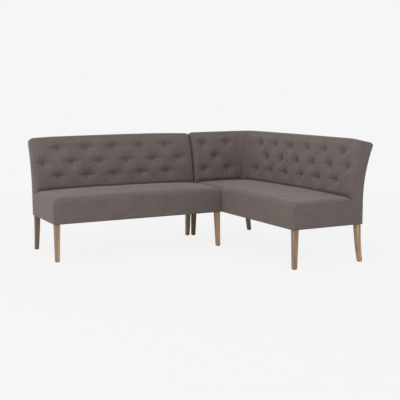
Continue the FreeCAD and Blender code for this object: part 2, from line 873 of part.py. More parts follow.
def eased_square(x, y, side):
    """A square section with its four corners taken off."""
    ease = S["leg_edge_ease"]
    return [
        (x + ease, y),
        (x + side - ease, y),
        (x + side, y + ease),
        (x + side, y + side - ease),
        (x + side - ease, y + side),
        (x + ease, y + side),
        (x, y + side - ease),
        (x, y + ease),
    ]


def leg_sections(rear, mirrored):
    """Levels of a leg: outer faces upright, inner faces tapering to the foot, the rear ones raked."""
    bottom = S["glide_height"]
    taper = S["leg_top"] - S["leg_foot"]
    rakes = REAR_LEG_RAKE_SHARES if rear else FRONT_LEG_RAKE_SHARES
    sections = []
    for share, rake_share in rakes:
        height = bottom + (apron_bottom - bottom) * share
        side = S["leg_foot"] + taper * share
        x_low = S["leg_top"] - side if mirrored else as_size(0)
        y_low = S["leg_top"] - side + S["leg_rake"] * rake_share if rear else as_size(0)
        sections.append((height, eased_square(x_low, y_low, side)))
    return sections


def legs(prefix, length, frame):
    """Four legs with their glides and bolts."""
    depth = S["seat_depth"]
    reach = S["bolt_inset"] - S["leg_inset"]
    near = S["leg_inset"]
    far_x = length - S["leg_inset"] - S["leg_top"]
    far_y = depth - S["leg_inset"] - S["leg_top"]
    back_reach = S["leg_top"] - reach
    plan = [
        ("front_left", False, False, near, near, reach, reach),
        ("front_right", False, True, far_x, near, back_reach, reach),
        ("rear_left", True, False, near, far_y, reach, back_reach),
        ("rear_right", True, True, far_x, far_y, back_reach, back_reach),
    ]
    glides = []
    for side, rear, mirrored, x, y, bolt_x, bolt_y in plan:
        name = "%s_%s_leg" % (prefix, side)
        body = leg_body(name, leg_sections(rear, mirrored), bolt_x, bolt_y)
        finish(body, name, frame.multiply(placement(x, y, 0)))
        foot = S["leg_foot"] * HALF_SHARE
        foot_x = S["leg_top"] - foot if mirrored else foot
        foot_y = S["leg_top"] - foot + S["leg_rake"] if rear else foot
        glides.append(placement(x + foot_x, y + foot_y, 0))
    copies(prefix + "_glides", glide_master, glides, frame)
    bolts = bolt_spots(length)
    copies(prefix + "_leg_bolts", bolt_master, [placement(x, y, 0) for x, y in bolts], frame)


def bolt_spots(length):
    low = S["bolt_inset"]
    return [(x, y) for x in (low, length - low) for y in (low, S["seat_depth"] - low)]


# Masters of the small repeated pieces

block_bolt = S["bolt_inset"] - rail_face
block_top = apron_bottom + S["frame_block_height"]
block_body = padded_body(
    "frame_block_body",
    "XY_Plane",
    [
        (0, 0),
        (S["frame_block"], 0),
        (S["frame_block"], S["frame_block_nose"]),
        (S["frame_block_nose"], S["frame_block"]),
        (0, S["frame_block"]),
    ],
    S["frame_block_height"],
)
block_bore = bore("frame_block_bore", bolt_hole, S["frame_block_height"], block_bolt,
                  block_bolt, as_size(0))
block_master = cut("frame_block", block_body, block_bore)
button_master = many_sided("button", BUTTON_SIDES, [
    (S["button_radius"], 0),
    (S["button_radius"], S["button_rim"]),
    (S["button_radius"] * BUTTON_CROWN_SHARE, S["button_height"]),
])
bolt_low = apron_bottom - S["bolt_depth"]
bolt_shank = many_sided("bolt_shank", SMALL_ROUND_SIDES, [
    (S["bolt_radius"], bolt_low),
    (S["bolt_radius"], block_top),
])
bolt_head = many_sided("bolt_head", 6, [
    (S["bolt_head_radius"], block_top),
    (S["bolt_head_radius"], block_top + S["bolt_head"]),
])
bolt_master = gather("Part::MultiFuse", "leg_bolt", [bolt_shank, bolt_head])
glide_master = many_sided("glide", SMALL_ROUND_SIDES, [
    (S["glide_foot_radius"], 0),
    (S["glide_radius"], S["glide_height"]),
])
doc.recompute()


def button_row(start, pitch, count):
    return [start + pitch * number for number in range(count)]


def plate_spots():
    """Places of the joint plates from the front edge of the straight bench."""
    return [S["seat_depth"] * share for share in PLATE_SHARES]


def straight_bench():
    length = S["bench_length"]
    width = S["post_width"]
    posts = [inset] + [length * share - width * HALF_SHARE for share in BENCH_POST_SHARES]
    posts.append(length - inset - width)
    bores = [(S["rail_thickness"] * HALF_SHARE, y - rail_face) for y in plate_spots()]
    seat_frame("bench", length, inset, posts, BENCH_CROSS_RAIL_SHARES, bores, False, BENCH_FRAME)
    dust_cover("bench", length, BENCH_FRAME)
    seat_foam("bench_seat_foam", inset, length - inset, BENCH_FRAME)
    seat_cover("bench_seat_cover", inset, length - inset, BENCH_FRAME)
    prism = mitre_prism(length, False, False)
    back_frame("bench_back", posts, (posts[0], posts[-1]), apron_bottom, prism, BENCH_FRAME)
    pitch = S["bench_button_pitch"]
    rows = (
        button_row(S["bench_low_start"], pitch, 5),
        button_row(S["bench_middle_start"], pitch, 6),
        button_row(S["bench_high_start"], pitch, 5),
    )
    back_cushion("bench_back", length, S["open_end_round"], S["joint_end_round"], rows,
                 prism, BENCH_FRAME)
    panels = [
        end_panel(as_size(0), S["open_end_round"], as_size(0)),
        end_panel(length - S["skin"], S["joint_end_round"], as_size(0)),
    ]
    set_shape("bench_end_panels", Part.makeCompound(panels), BENCH_FRAME)
    legs("bench", length, BENCH_FRAME)


def corner_bench():
    length = S["corner_length"]
    depth = S["seat_depth"]
    width = S["post_width"]
    last = length - inset - width
    first = S["long_post_place"]
    posts = [first] + [first + (last - first) * share for share in LONG_POST_SHARES] + [last]
    spots = [depth - y for y in plate_spots()]
    bores = [(x - inset, S["rail_thickness"] * HALF_SHARE) for x in spots]
    seat_frame("corner", length, S["back_thickness"], posts, CORNER_CROSS_RAIL_SHARES, bores,
               True, CORNER_FRAME)
    dust_cover("corner", length, CORNER_FRAME)
    seat_start = S["back_thickness"] + S["gap"]
    seat_foam("corner_seat_foam", seat_start, length - inset, CORNER_FRAME)
    seat_cover("corner_seat_cover", seat_start, length - inset, CORNER_FRAME)
    far = S["overrun"] + back_lean
    long_prism = mitre_prism(length, True, False)
    back_frame("corner_long_back", posts, (-far, posts[-1]), apron_bottom, long_prism, CORNER_FRAME)
    rows = (
        button_row(S["long_outer_start"], S["long_low_pitch"], 6),
        button_row(S["long_middle_start"], S["long_middle_pitch"], 6),
        button_row(S["long_outer_start"], S["long_high_pitch"], 6),
    )
    back_cushion("corner_long_back", length, None, S["open_end_round"], rows, long_prism,
                 CORNER_FRAME)
    short_prism = mitre_prism(depth, False, True)
    short_posts = [rail_face, S["short_post_place"]]
    back_frame("corner_short_back", short_posts, (rail_face, depth + far),
               rail_top - S["short_post_tail"], short_prism, SHORT_BACK_FRAME)
    pitch = S["short_button_pitch"]
    rows = (
        button_row(S["short_low_start"], pitch, 2),
        button_row(S["short_middle_start"], pitch, 1),
        button_row(S["short_high_start"], pitch, 2),
    )
    back_cushion("corner_short_back", depth, S["joint_end_round"], None, rows, short_prism,
                 SHORT_BACK_FRAME)
    near_panel = end_panel(length - S["skin"], S["open_end_round"], as_size(0))
    set_shape("corner_near_panel", near_panel, CORNER_FRAME)
    far_panel = end_panel(as_size(0), S["joint_end_round"], seat_rear)
    set_shape("corner_joint_panel", far_panel, SHORT_BACK_FRAME)
    legs("corner", length, CORNER_FRAME)


def joint_plates():
    """Steel plates under the seam, each screwed to both modules."""
    reach = S["dust_cover_margin"] - S["gap"]
    first_screw = reach - inset - S["rail_thickness"] * HALF_SHARE
    span = 2 * reach + S["module_gap"]
    middle = S["plate_width"] * HALF_SHARE
    outline = rectangle(0, span, 0, S["plate_width"])
    holes = []
    for number, spot in enumerate((first_screw, span - first_screw)):
        holes.append(bore("joint_plate_hole_%d" % number, screw_hole, S["plate_thickness"],
                          spot, middle, as_size(0)))
    body = padded_body("joint_plate_body", "XY_Plane", outline, S["plate_thickness"])
    plate = cut("joint_plate", body, gather("Part::Compound", "joint_plate_holes", holes))
    doc.recompute()
    low = apron_bottom - S["plate_thickness"]
    x = S["bench_length"] - reach
    places = [placement(x, y - middle, low) for y in plate_spots()]
    copies("joint_plates", plate, places, BENCH_FRAME)
    head_low = -S["screw_head"]
    head = many_sided("screw_head", SMALL_ROUND_SIDES, [
        (S["screw_head_radius"], head_low),
        (S["screw_head_radius"], 0),
    ])
    shank_length = S["plate_thickness"] + S["screw_depth"]
    shank = many_sided("screw_shank", SMALL_ROUND_SIDES, [
        (S["screw_radius"], 0),
        (S["screw_radius"], shank_length),
    ])
    screw = gather("Part::MultiFuse", "joint_screw", [head, shank])
    doc.recompute()
    screws = []
    for y in plate_spots():
        for along in (first_screw, span - first_screw):
            screws.append(placement(x + along, y, low))
    copies("joint_screws", screw, screws, BENCH_FRAME)


def check_document():
    """Stops where an object failed or a sub-part has no valid shape."""
    doc.recompute()
    for item in doc.Objects:
        if "Invalid" in item.State or "Error" in item.State:
            raise RuntimeError("%s is %s" % (item.Name, item.State))
    for piece in finished_pieces:
        if piece.Shape.isNull() or not piece.Shape.isValid():
            raise RuntimeError("%s has no valid shape" % piece.Label)


def write_pieces():
    os.makedirs("parts", exist_ok=True)
    for piece in finished_pieces:
        piece.Shape.exportStep(os.path.join("parts", piece.Label + ".step"))


straight_bench()
corner_bench()
joint_plates()
check_document()
write_pieces()
print("%d sub-parts written" % len(finished_pieces))
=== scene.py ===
import functools
import json
import math

import bmesh
import bpy
import numpy as np
from mathutils import Matrix, Vector
from mathutils.geometry import delaunay_2d_cdt


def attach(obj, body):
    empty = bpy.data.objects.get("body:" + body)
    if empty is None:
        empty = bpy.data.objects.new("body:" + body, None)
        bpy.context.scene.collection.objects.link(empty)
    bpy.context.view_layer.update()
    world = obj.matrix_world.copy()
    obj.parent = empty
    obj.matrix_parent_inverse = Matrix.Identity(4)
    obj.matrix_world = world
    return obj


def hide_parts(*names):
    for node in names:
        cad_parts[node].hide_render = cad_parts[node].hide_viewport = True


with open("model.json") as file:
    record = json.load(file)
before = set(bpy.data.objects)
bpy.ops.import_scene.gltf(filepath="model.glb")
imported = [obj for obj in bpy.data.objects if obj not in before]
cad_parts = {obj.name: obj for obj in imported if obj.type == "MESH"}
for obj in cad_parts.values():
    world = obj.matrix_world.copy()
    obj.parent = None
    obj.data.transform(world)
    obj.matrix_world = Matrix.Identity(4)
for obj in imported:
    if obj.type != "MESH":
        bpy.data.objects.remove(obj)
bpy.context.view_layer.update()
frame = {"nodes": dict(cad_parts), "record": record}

# The corner banquette dressed in cloth. Forms are drawn in millimetres in the frame of
# their own module: X along its front edge, Y to the rear, Z up.
MM = 0.001

# Modules
BENCH_LENGTH = 1400.0
CORNER_LENGTH = 1650.0
DEPTH = 600.0
MODULE_GAP = 0.6
SKIN = 2.4
INSET = 2.7
APRON_BOTTOM = 284.0

# Seats
SEAT_TOP = 480.0
SEAT_CROWN = 16.0
SEAT_LIFT = 12.0
SEAT_ROUND = 44.0
SEAT_END_DRAW = 13.0
SEAT_END_SLOPE = 40.0
FOAM_BOTTOM = 402.2

# Backs
BACK = 105.0
CURVE_START = 446.0
CURVE_RADIUS = 1050.0
FRONT_RADIUS = CURVE_RADIUS + BACK
SWEEP = 23.6
FRAME_SWEEP = 22.79
TOP_ROUND = 26.0
TOP_DRAW_SHARE = 0.35
PAD_BOTTOM = 440.0
FRAME_FRONT = 41.9
OPEN_ROUND = 30.0
JOINT_ROUND = 40.0

# Tufts and buttons
TUFT_DEPTH = 15.0
BUTTON_RADIUS = 11.0
ROW_HEIGHTS = (591.0, 700.0, 809.0)

BACK_LEAN = CURVE_RADIUS * (1 - math.cos(math.radians(SWEEP)))
SHIFT_X = -(BENCH_LENGTH + MODULE_GAP + DEPTH + BACK_LEAN) / 2
SHIFT_Y = -(DEPTH - CORNER_LENGTH + DEPTH + BACK_LEAN) / 2
CORNER_X = SHIFT_X + BENCH_LENGTH + MODULE_GAP

# Each module's own frame: its origin, and the directions of its X and Y
FRAMES = {
    "bench": ((SHIFT_X, SHIFT_Y), (1, 0), (0, 1)),
    "corner": ((CORNER_X, SHIFT_Y + DEPTH), (0, -1), (1, 0)),
    "short": ((CORNER_X, SHIFT_Y), (1, 0), (0, 1)),
}


def to_world(points, module):
    """World coordinates in metres of points in a module's own frame."""
    origin, along, across = FRAMES[module]
    points = np.asarray(points, float)
    x, y, z = points[..., 0], points[..., 1], points[..., 2]
    world = [origin[0] + along[0] * x + across[0] * y, origin[1] + along[1] * x + across[1] * y, z]
    return np.stack(world, axis=-1) * MM


def placed(name, data):
    """A new object in the scene."""
    item = bpy.data.objects.new(name, data)
    bpy.context.scene.collection.objects.link(item)
    return item


# Camera at the photograph's viewing angle

CAMERA_SPOT = (-1602.5, -5551.2, 1202.0)
CAMERA_YAW = 0.467813
CAMERA_PITCH = 0.129356
CAMERA_ROLL = -0.00621
CAMERA_LENS = 70.457
CAMERA_SENSOR = 36.0


def make_camera():
    data = bpy.data.cameras.new("camera")
    data.lens = CAMERA_LENS
    data.sensor_width = CAMERA_SENSOR
    camera = placed("camera", data)
    ahead = Vector((math.sin(CAMERA_YAW) * math.cos(CAMERA_PITCH),
                    math.cos(CAMERA_YAW) * math.cos(CAMERA_PITCH), -math.sin(CAMERA_PITCH)))
    level = Vector((math.cos(CAMERA_YAW), -math.sin(CAMERA_YAW), 0.0))
    upward = level.cross(ahead)
    right = level * math.cos(CAMERA_ROLL) + upward * math.sin(CAMERA_ROLL)
    up = upward * math.cos(CAMERA_ROLL) - level * math.sin(CAMERA_ROLL)
    turn = Matrix((right, up, -ahead)).transposed()
    place = Vector(to_world(CAMERA_SPOT, "bench"))
    camera.matrix_world = Matrix.Translation(place) @ turn.to_4x4()
    bpy.context.scene.camera = camera


make_camera()


# Materials

class Nodes:
    """The node tree of a material or a world, with short calls for the nodes used here."""

    def __init__(self, owner):
        owner.use_nodes = True
        self.owner = owner
        self.tree = owner.node_tree

    def add(self, kind, inputs=None, **settings):
        node = self.tree.nodes.new(kind)
        for key, value in settings.items():
            setattr(node, key, value)
        for key, value in (inputs or {}).items():
            self.put(node.inputs[key], value)
        return node

    def put(self, socket, value):
        if isinstance(value, bpy.types.NodeSocket):
            self.tree.links.new(value, socket)
        else:
            socket.default_value = value

    def dress(self, inputs):
        """Sets inputs of the surface's shader and returns the material."""
        for key, value in inputs.items():
            self.put(self.tree.nodes["Principled BSDF"].inputs[key], value)
        return self.owner

    def place(self):
        return self.add("ShaderNodeTexCoord").outputs["Object"]

    def seen_ray(self):
        """1 where the camera sees a thing, straight or by a mirror or through glass."""
        path = self.add("ShaderNodeLightPath").outputs
        ray = self.math("MAXIMUM", path["Is Camera Ray"], path["Is Glossy Ray"])
        return self.math("MAXIMUM", ray, path["Is Transmission Ray"])

    def math(self, operation, first, second=0.0):
        return self.add("ShaderNodeMath", {0: first, 1: second}, operation=operation).outputs[0]

    def shared(self, first, share, second):
        """Sum of two values, the first with its share and the second with the rest."""
        return self.math("ADD", self.math("MULTIPLY", first, share),
                         self.math("MULTIPLY", second, 1 - share))

    def ranged(self, value, low, high, start=0.0, end=1.0):
        inputs = {"Value": value, "From Min": start, "From Max": end, "To Min": low,
                  "To Max": high}
        return self.add("ShaderNodeMapRange", inputs).outputs[0]

    def either(self, share, first, second):
        return self.add("ShaderNodeMix", {0: share, 2: first, 3: second}).outputs[0]

    def mix(self, share, first, second, blend="MIX"):
        node = self.add("ShaderNodeMix", {0: share, 6: first, 7: second}, data_type="RGBA",
                        blend_type=blend)
        return node.outputs[2]

    def multiplied(self, colour, *layers):
        for layer in layers:
            colour = self.mix(1.0, colour, layer, "MULTIPLY")
        return colour

    def stretched(self, coordinates, scale):
        return self.add("ShaderNodeMapping", {"Vector": coordinates, "Scale": scale}).outputs[0]

    def noise(self, coordinates, scale=1.0, detail=2.0, roughness=0.5, distortion=0.0):
        inputs = {"Vector": coordinates, "Scale": scale, "Detail": detail, "Roughness": roughness,
                  "Distortion": distortion}
        return self.add("ShaderNodeTexNoise", inputs).outputs["Fac"]

    def streaks(self, threads, spots, detail=2.0):
        return self.noise(self.stretched(threads, (*spots, 1.0)), detail=detail)

    def ramp(self, value, stops):
        node = self.add("ShaderNodeValToRGB", {"Fac": value})
        elements = node.color_ramp.elements
        while len(elements) < len(stops):
            elements.new(0.5)
        for element, (place, colour) in zip(elements, stops):
            element.position = place
            element.color = (*colour, 1.0)
        return node.outputs["Color"]

    def bump(self, height, distance, strength, normal=None):
        inputs = {"Height": height, "Distance": distance, "Strength": strength}
        if normal is not None:
            inputs["Normal"] = normal
        return self.add("ShaderNodeBump", inputs).outputs[0]


def linear(red, green, blue):
    """A colour given in sRGB from 0 to 255."""
    values = [value / 255 for value in (red, green, blue)]
    return tuple(v / 12.92 if v <= 0.04045 else ((v + 0.055) / 1.055) ** 2.4 for v in values)


def grey(level):
    return (level,) * 3


# Cloth: the width of a thread, and spots per metre across and along it

THREAD = 1.15
YARN_SPOTS = (1000.0, 70.0)
SPECKLE_SPOTS = (420.0, 420.0)
FLECK_SPOTS = (150.0, 60.0)
SLUB_SPOTS = (26.0, 170.0)
CLOUD_SCALE = 9.0
CREASE_SCALE, CREASE_RAISED = 45.0, 0.0011


def cloth_material(name, dark, light, pitch=THREAD, raised=0.00035, sheen=0.25):
    """A plain melange weave: warp and weft of mixed yarn, slubs, and soft clouds of tone."""
    n = Nodes(bpy.data.materials.new(name))
    threads = n.add("ShaderNodeUVMap", uv_map="threads").outputs[0]
    place = n.place()
    grid = n.stretched(threads, (1000 / pitch, 1000 / pitch, 1.0))
    over = n.add("ShaderNodeTexChecker", {"Vector": grid, "Scale": 1.0}).outputs["Fac"]
    split = n.add("ShaderNodeSeparateXYZ", {"Vector": grid}).outputs
    ridges = [n.math("ABSOLUTE", n.math("SINE", n.math("MULTIPLY", split[axis], math.pi)))
              for axis in (0, 1)]
    weave = n.either(over, *ridges)
    yarn = n.either(over, n.streaks(threads, YARN_SPOTS), n.streaks(threads, YARN_SPOTS[::-1]))
    tone = n.shared(yarn, 0.6, n.streaks(threads, SPECKLE_SPOTS, detail=1.0))
    fleck = n.streaks(threads, FLECK_SPOTS, detail=1.0)
    layers = [n.ramp(fleck, [(0.35, grey(0.92)), (0.52, grey(1.0)), (0.72, grey(1.05))])]
    for spots in (SLUB_SPOTS, SLUB_SPOTS[::-1]):
        layers.append(n.ramp(n.streaks(threads, spots), [(0.32, grey(0.94)), (0.68, grey(1.06))]))
    clouds = n.noise(place, CLOUD_SCALE, detail=3.0, roughness=0.6)
    layers.append(n.ramp(clouds, [(0.3, (0.93, 0.93, 0.95)), (0.7, (1.06, 1.06, 1.04))]))
    # Painted shade: the base colour is darker in the hollows between the threads of the weave.
    layers.append(n.ramp(weave, [(0.0, grey(0.72)), (0.6, grey(1.0))]))
    height = n.math("ADD", weave, n.math("MULTIPLY", yarn, 0.5))
    fine = n.bump(height, raised, strength=0.8)
    creases = n.noise(place, CREASE_SCALE)
    return n.dress({
        "Base Color": n.multiplied(n.ramp(tone, [(0.30, dark), (0.70, light)]), *layers),
        "Roughness": n.ranged(yarn, 0.82, 0.96),
        "Normal": n.bump(creases, CREASE_RAISED, strength=0.6, normal=fine),
        "Sheen Weight": sheen,
        "Sheen Roughness": 0.45,
        "Sheen Tint": (0.86, 0.80, 0.76, 1.0),
        "Specular IOR Level": 0.25,
    })


# Wood: the grain runs along one axis, and the pores are finer than the rings

RING_ACROSS, RING_ALONG, RING_SCALE, BEND_SCALE = 1.0, 0.055, 95.0, 9.0
PORE_ACROSS, PORE_ALONG, PORE_RAISED = 900.0, 2.2, 0.0003
WEAR_SCALE = 26.0


def grained(axis, across, along):
    scale = [across] * 3
    scale[axis] = along
    return scale


def wood_material(name, dark, mid, light, axis, pore=0.5):
    """Open-grained timber: growth rings cut lengthwise, short dark pores, and wear."""
    n = Nodes(bpy.data.materials.new(name))
    place = n.place()
    lengthwise = n.stretched(place, grained(axis, RING_ACROSS, RING_ALONG))
    bend = n.noise(lengthwise, BEND_SCALE, detail=3.0)
    rings = n.noise(lengthwise, RING_SCALE, detail=3.0, roughness=0.55, distortion=0.35)
    tone = n.shared(rings, 0.75, bend)
    colour = n.ramp(tone, [(0.30, dark), (0.50, mid), (0.70, light)])
    fibre = n.noise(n.stretched(place, grained(axis, PORE_ACROSS, PORE_ALONG)))
    pores = n.ramp(fibre, [(0.33, grey(0.62)), (0.45, grey(1.0))])
    wear = n.noise(place, WEAR_SCALE)
    worn = n.ramp(wear, [(0.35, (0.90, 0.90, 0.92)), (0.65, (1.06, 1.05, 1.03))])
    return n.dress({
        "Base Color": n.multiplied(n.mix(pore, colour, n.multiplied(colour, pores)), worn),
        "Roughness": n.ranged(tone, 0.52, 0.72),
        "Normal": n.bump(fibre, PORE_RAISED, strength=0.5),
        "Specular IOR Level": 0.35,
    })


BROAD_SHARE = 0.06
UNEVEN_GLOSS = 0.08


def plain_material(name, low, high, scale, roughness, metallic=0.0, raised=0.0001):
    """A finish with fine mottling of tone and relief, for metal, plastic and foam."""
    n = Nodes(bpy.data.materials.new(name))
    place = n.place()
    grain = n.noise(place, scale, detail=4.0, roughness=0.6)
    tone = n.shared(grain, 0.6, n.noise(place, scale * BROAD_SHARE))
    return n.dress({
        "Base Color": n.ramp(tone, [(0.3, low), (0.7, high)]),
        "Roughness": n.ranged(grain, roughness - UNEVEN_GLOSS, roughness + UNEVEN_GLOSS),
        "Normal": n.bump(grain, raised, strength=0.6),
        "Metallic": metallic,
    })


TWILL_SCALE, JUTE_SCALE, TWILL_RAISED = 160.0, 700.0, 0.0004


def strap_material(name):
    """Webbing: a coarse uneven twill of jute."""
    n = Nodes(bpy.data.materials.new(name))
    place = n.place()
    twill = n.add("ShaderNodeTexWave", {"Vector": place, "Scale": TWILL_SCALE, "Distortion": 0.4},
                  bands_direction="DIAGONAL").outputs["Fac"]
    tone = n.shared(twill, 0.6, n.noise(place, JUTE_SCALE))
    return n.dress({
        "Base Color": n.ramp(tone, [(0.25, linear(104, 84, 58)), (0.75, linear(176, 152, 112))]),
        "Normal": n.bump(tone, TWILL_RAISED, strength=0.8),
        "Roughness": 0.9,
    })


def oak(name, share):
    """Limed oak: the same grain, its tones deeper or paler by a share, as painted shade or painted
    light on a leg.
    """
    tones = [linear(124, 99, 77), linear(160, 133, 108), linear(188, 161, 134)]
    return wood_material(name, *[tuple(share * value for value in tone) for tone in tones], axis=2)


CLOTH = cloth_material("taupe_cloth", linear(85, 76, 73), linear(122, 111, 108))
# A darker copy of the cloth for the buttons: painted shade for the hollow at the middle of each
# tuft.
SHADED_BUTTON_CLOTH = cloth_material("button_cloth_painted_shade", linear(76, 67, 64), linear(113, 102, 99))
LINING = cloth_material("black_lining", linear(20, 20, 22), linear(38, 38, 40), pitch=0.9,
                        raised=0.0002, sheen=0.1)

FINISHES = {
    "taupe_cloth": CLOTH,
    "cushion_foam": plain_material("cushion_foam", linear(214, 203, 168), linear(238, 230, 200),
                                   scale=900.0, roughness=0.92, raised=0.0006),
    "jute_webbing": strap_material("jute_webbing"),
    "black_cloth": LINING,
    "limed_oak": oak("limed_oak", 1.0),
    "frame_timber": wood_material("frame_timber", linear(168, 128, 86), linear(196, 156, 112),
                                  linear(214, 178, 134), axis=0, pore=0.3),
    "zinc_steel": plain_material("zinc_steel", linear(158, 160, 163), linear(196, 198, 200),
                                 scale=500.0, roughness=0.34, metallic=1.0),
    "glide_plastic": plain_material("glide_plastic", linear(34, 30, 28), linear(58, 52, 48),
                                    scale=600.0, roughness=0.55),
}

# Painted light and shade on the legs: darker copies of the oak are painted shade for legs in shade
# under the seats, and a paler copy is painted light on two others.
OAK_PAINTED_SHADE = oak("limed_oak_painted_shade", 0.6)
OAK_PAINTED_LIGHT = oak("limed_oak_painted_light", 1.2)
PAINTED_LIGHT_LEGS = {
    "bench_rear_left_leg": OAK_PAINTED_SHADE,
    "corner_front_left_leg": OAK_PAINTED_SHADE,
    "corner_rear_left_leg": OAK_PAINTED_SHADE,
    "corner_front_right_leg": oak("limed_oak_painted_half_shade", 0.84),
    "bench_front_right_leg": OAK_PAINTED_LIGHT,
    "corner_rear_right_leg": OAK_PAINTED_LIGHT,
}
slot_of = {row["node"]: row["material_slot"] for row in frame["record"]["subparts"]}
for node, item in frame["nodes"].items():
    item.data.materials.clear()
    item.data.materials.append(PAINTED_LIGHT_LEGS.get(node, FINISHES[slot_of[node]]))


# Making pieces

def new_piece(name, vertices, faces, uvs, material, replaced):
    """A smooth mesh piece in metres, with thread coordinates per face corner."""
    mesh = bpy.data.meshes.new(name)
    mesh.from_pydata([tuple(v) for v in vertices], [], faces)
    layer = mesh.uv_layers.new(name="threads")
    layer.data.foreach_set("uv", np.asarray(uvs, np.float32).ravel())
    mesh.materials.append(material)
    work = bmesh.new()
    work.from_mesh(mesh)
    bmesh.ops.recalc_face_normals(work, faces=work.faces)
    work.to_mesh(mesh)
    work.free()
    mesh.polygons.foreach_set("use_smooth", [True] * len(mesh.polygons))
    piece = placed(name, mesh)
    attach(piece, "root")
    if replaced:
        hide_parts(*replaced)
    return piece


def lofted(name, sections, module, replaced):
    """Cloth round closed sections that all have as many points, with a cap at each end."""
    sections = np.asarray(sections, float)
    rows, columns = sections.shape[:2]
    around = np.concatenate([sections, sections[:, :1]], axis=1)
    steps = np.linalg.norm(np.diff(around, axis=1), axis=2)
    across = np.concatenate([np.zeros((rows, 1)), np.cumsum(steps, axis=1)], axis=1) * MM
    along = around[:, :, 0] * MM
    faces = []
    uvs = []
    for i in range(rows - 1):
        for j in range(columns):
            k = (j + 1) % columns
            faces.append((i * columns + j, i * columns + k, (i + 1) * columns + k,
                          (i + 1) * columns + j))
            for a, b in ((i, j), (i, j + 1), (i + 1, j + 1), (i + 1, j)):
                uvs.append((along[a, b], across[a, b]))
    for i in (0, rows - 1):
        faces.append(tuple(range(i * columns, (i + 1) * columns)))
        uvs.extend(sections[i, :, 1:] * MM)
    vertices = to_world(sections.reshape(-1, 3), module)
    return new_piece(name, vertices, faces, uvs, CLOTH, replaced)


# The bent back

FRONT_STEP = 4.5
FOOT_STEPS = 7
ROUND_STEPS = 9
TOP_STEPS = 12
TOP_SWELL = 1.6
UNDER_STEPS = 8
HIDDEN_ROWS = UNDER_STEPS + 3
OFF_FRONT = -1000.0
REAR_ROUND = 20.0
REAR_DRAW_SHARE = 0.25
REAR_ROUND_EASE = 3


def back_point(depth, angle):
    """Y and Z of a point by its depth from the rear face and its angle in degrees."""
    radius = CURVE_RADIUS + depth
    turn = math.radians(angle)
    return (DEPTH + CURVE_RADIUS - radius * math.cos(turn), CURVE_START + radius * math.sin(turn))


def row_rise(height):
    """Length up the front curve from its start to a row of buttons at that height."""
    return FRONT_RADIUS * math.asin((height - CURVE_START) / FRONT_RADIUS)


def rear_edge(draw):
    """Angle of a back's rear top edge where its end draws in, and the radius of its round."""
    sweep = SWEEP - math.degrees(draw * REAR_DRAW_SHARE / CURVE_RADIUS)
    return sweep, REAR_ROUND - draw / REAR_ROUND_EASE


def rear_rounded(y, z, sweep, rounding):
    """Point of a back's side view moved onto the soft round of its rear top edge."""
    ahead, above = DEPTH + CURVE_RADIUS - y, z - CURVE_START
    reach = math.hypot(ahead, above)
    angle = math.degrees(math.atan2(above, ahead))
    behind = rounding - (reach - CURVE_RADIUS)
    over = rounding - math.radians(sweep - angle) * reach
    if z < CURVE_START or behind <= 0.0 or over <= 0.0:
        return y, z
    share = max(behind, over) / math.hypot(behind, over)
    depth = rounding - behind * share
    below = rounding - over * share
    return back_point(depth, sweep - math.degrees(below / (CURVE_RADIUS + depth)))


def top_angle(depth, flat, sweep, rear_sweep):
    """Angle of the flat top: less draw towards the rear, where it covers the timber."""
    return sweep + (rear_sweep - sweep) * smooth(2 * (flat - depth) / (flat - INSET))


def top_round(draw):
    """Round of a back's top edge where its end draws in.

    Returns the angle up to the round, the angle and depth of the flat top's front, and the
    points round it as y, z and outward y, z.
    """
    front = BACK - draw
    sweep = SWEEP - math.degrees(draw * TOP_DRAW_SHARE / CURVE_RADIUS)
    centre_radius = CURVE_RADIUS + front - TOP_ROUND
    top = sweep - math.degrees(math.asin(TOP_ROUND / centre_radius))
    centre = back_point(front - TOP_ROUND, top)
    points = []
    for step in range(1, ROUND_STEPS + 1):
        direction = math.pi - math.radians(top) - math.radians(90.0) * step / ROUND_STEPS
        outward = (math.cos(direction), math.sin(direction))
        points.append((centre[0] + TOP_ROUND * outward[0], centre[1] + TOP_ROUND * outward[1],
                       *outward))
    return top, sweep, math.sqrt(centre_radius ** 2 - TOP_ROUND ** 2) - CURVE_RADIUS, points


@functools.cache
def pad_profile(draw):
    """Closed section of a padded back: y, z, rise up the front or OFF_FRONT, outward y and z."""
    front = BACK - draw
    top, sweep, flat, round_points = top_round(draw)
    rear_sweep, rounding = rear_edge(draw)
    rows = []
    for step in range(FOOT_STEPS):
        z = PAD_BOTTOM + (CURVE_START - PAD_BOTTOM) * step / FOOT_STEPS
        rows.append((DEPTH - front, z, z - CURVE_START, -1.0, 0.0))
    count = int(math.radians(SWEEP) * FRONT_RADIUS / FRONT_STEP)
    for step in range(count + 1):
        angle = top * step / count
        turned = math.radians(angle)
        outward = (-math.cos(turned), math.sin(turned))
        rows.append((*back_point(front, angle), turned * FRONT_RADIUS, *outward))
    rows += [(y, z, OFF_FRONT, *outward) for y, z, *outward in round_points]
    turned = math.radians(sweep)
    for step in range(1, TOP_STEPS + 1):
        depth = flat + (INSET - flat) * step / TOP_STEPS
        y, z = back_point(depth, top_angle(depth, flat, sweep, rear_sweep))
        swell = TOP_SWELL * math.sin(math.pi * step / TOP_STEPS)
        rows.append((y + swell * math.sin(turned), z + swell * math.cos(turned), OFF_FRONT,
                     0.0, 0.0))
    under = [(INSET, FRAME_SWEEP)]
    under += [(FRAME_FRONT, FRAME_SWEEP * (1 - step / UNDER_STEPS))
              for step in range(UNDER_STEPS + 1)]
    rows += [(*back_point(depth, angle), OFF_FRONT, 0.0, 0.0) for depth, angle in under]
    rows.append((DEPTH - FRAME_FRONT, PAD_BOTTOM, OFF_FRONT, 0.0, 0.0))
    return np.array([(*rear_rounded(row[0], row[1], rear_sweep, rounding), *row[2:])
                     for row in rows])


def smooth(value):
    value = np.clip(value, 0.0, 1.0)
    return value * value * (3 - 2 * value)


WAVES = 7
WAVE_LENGTHS = (0.6, 1.6)


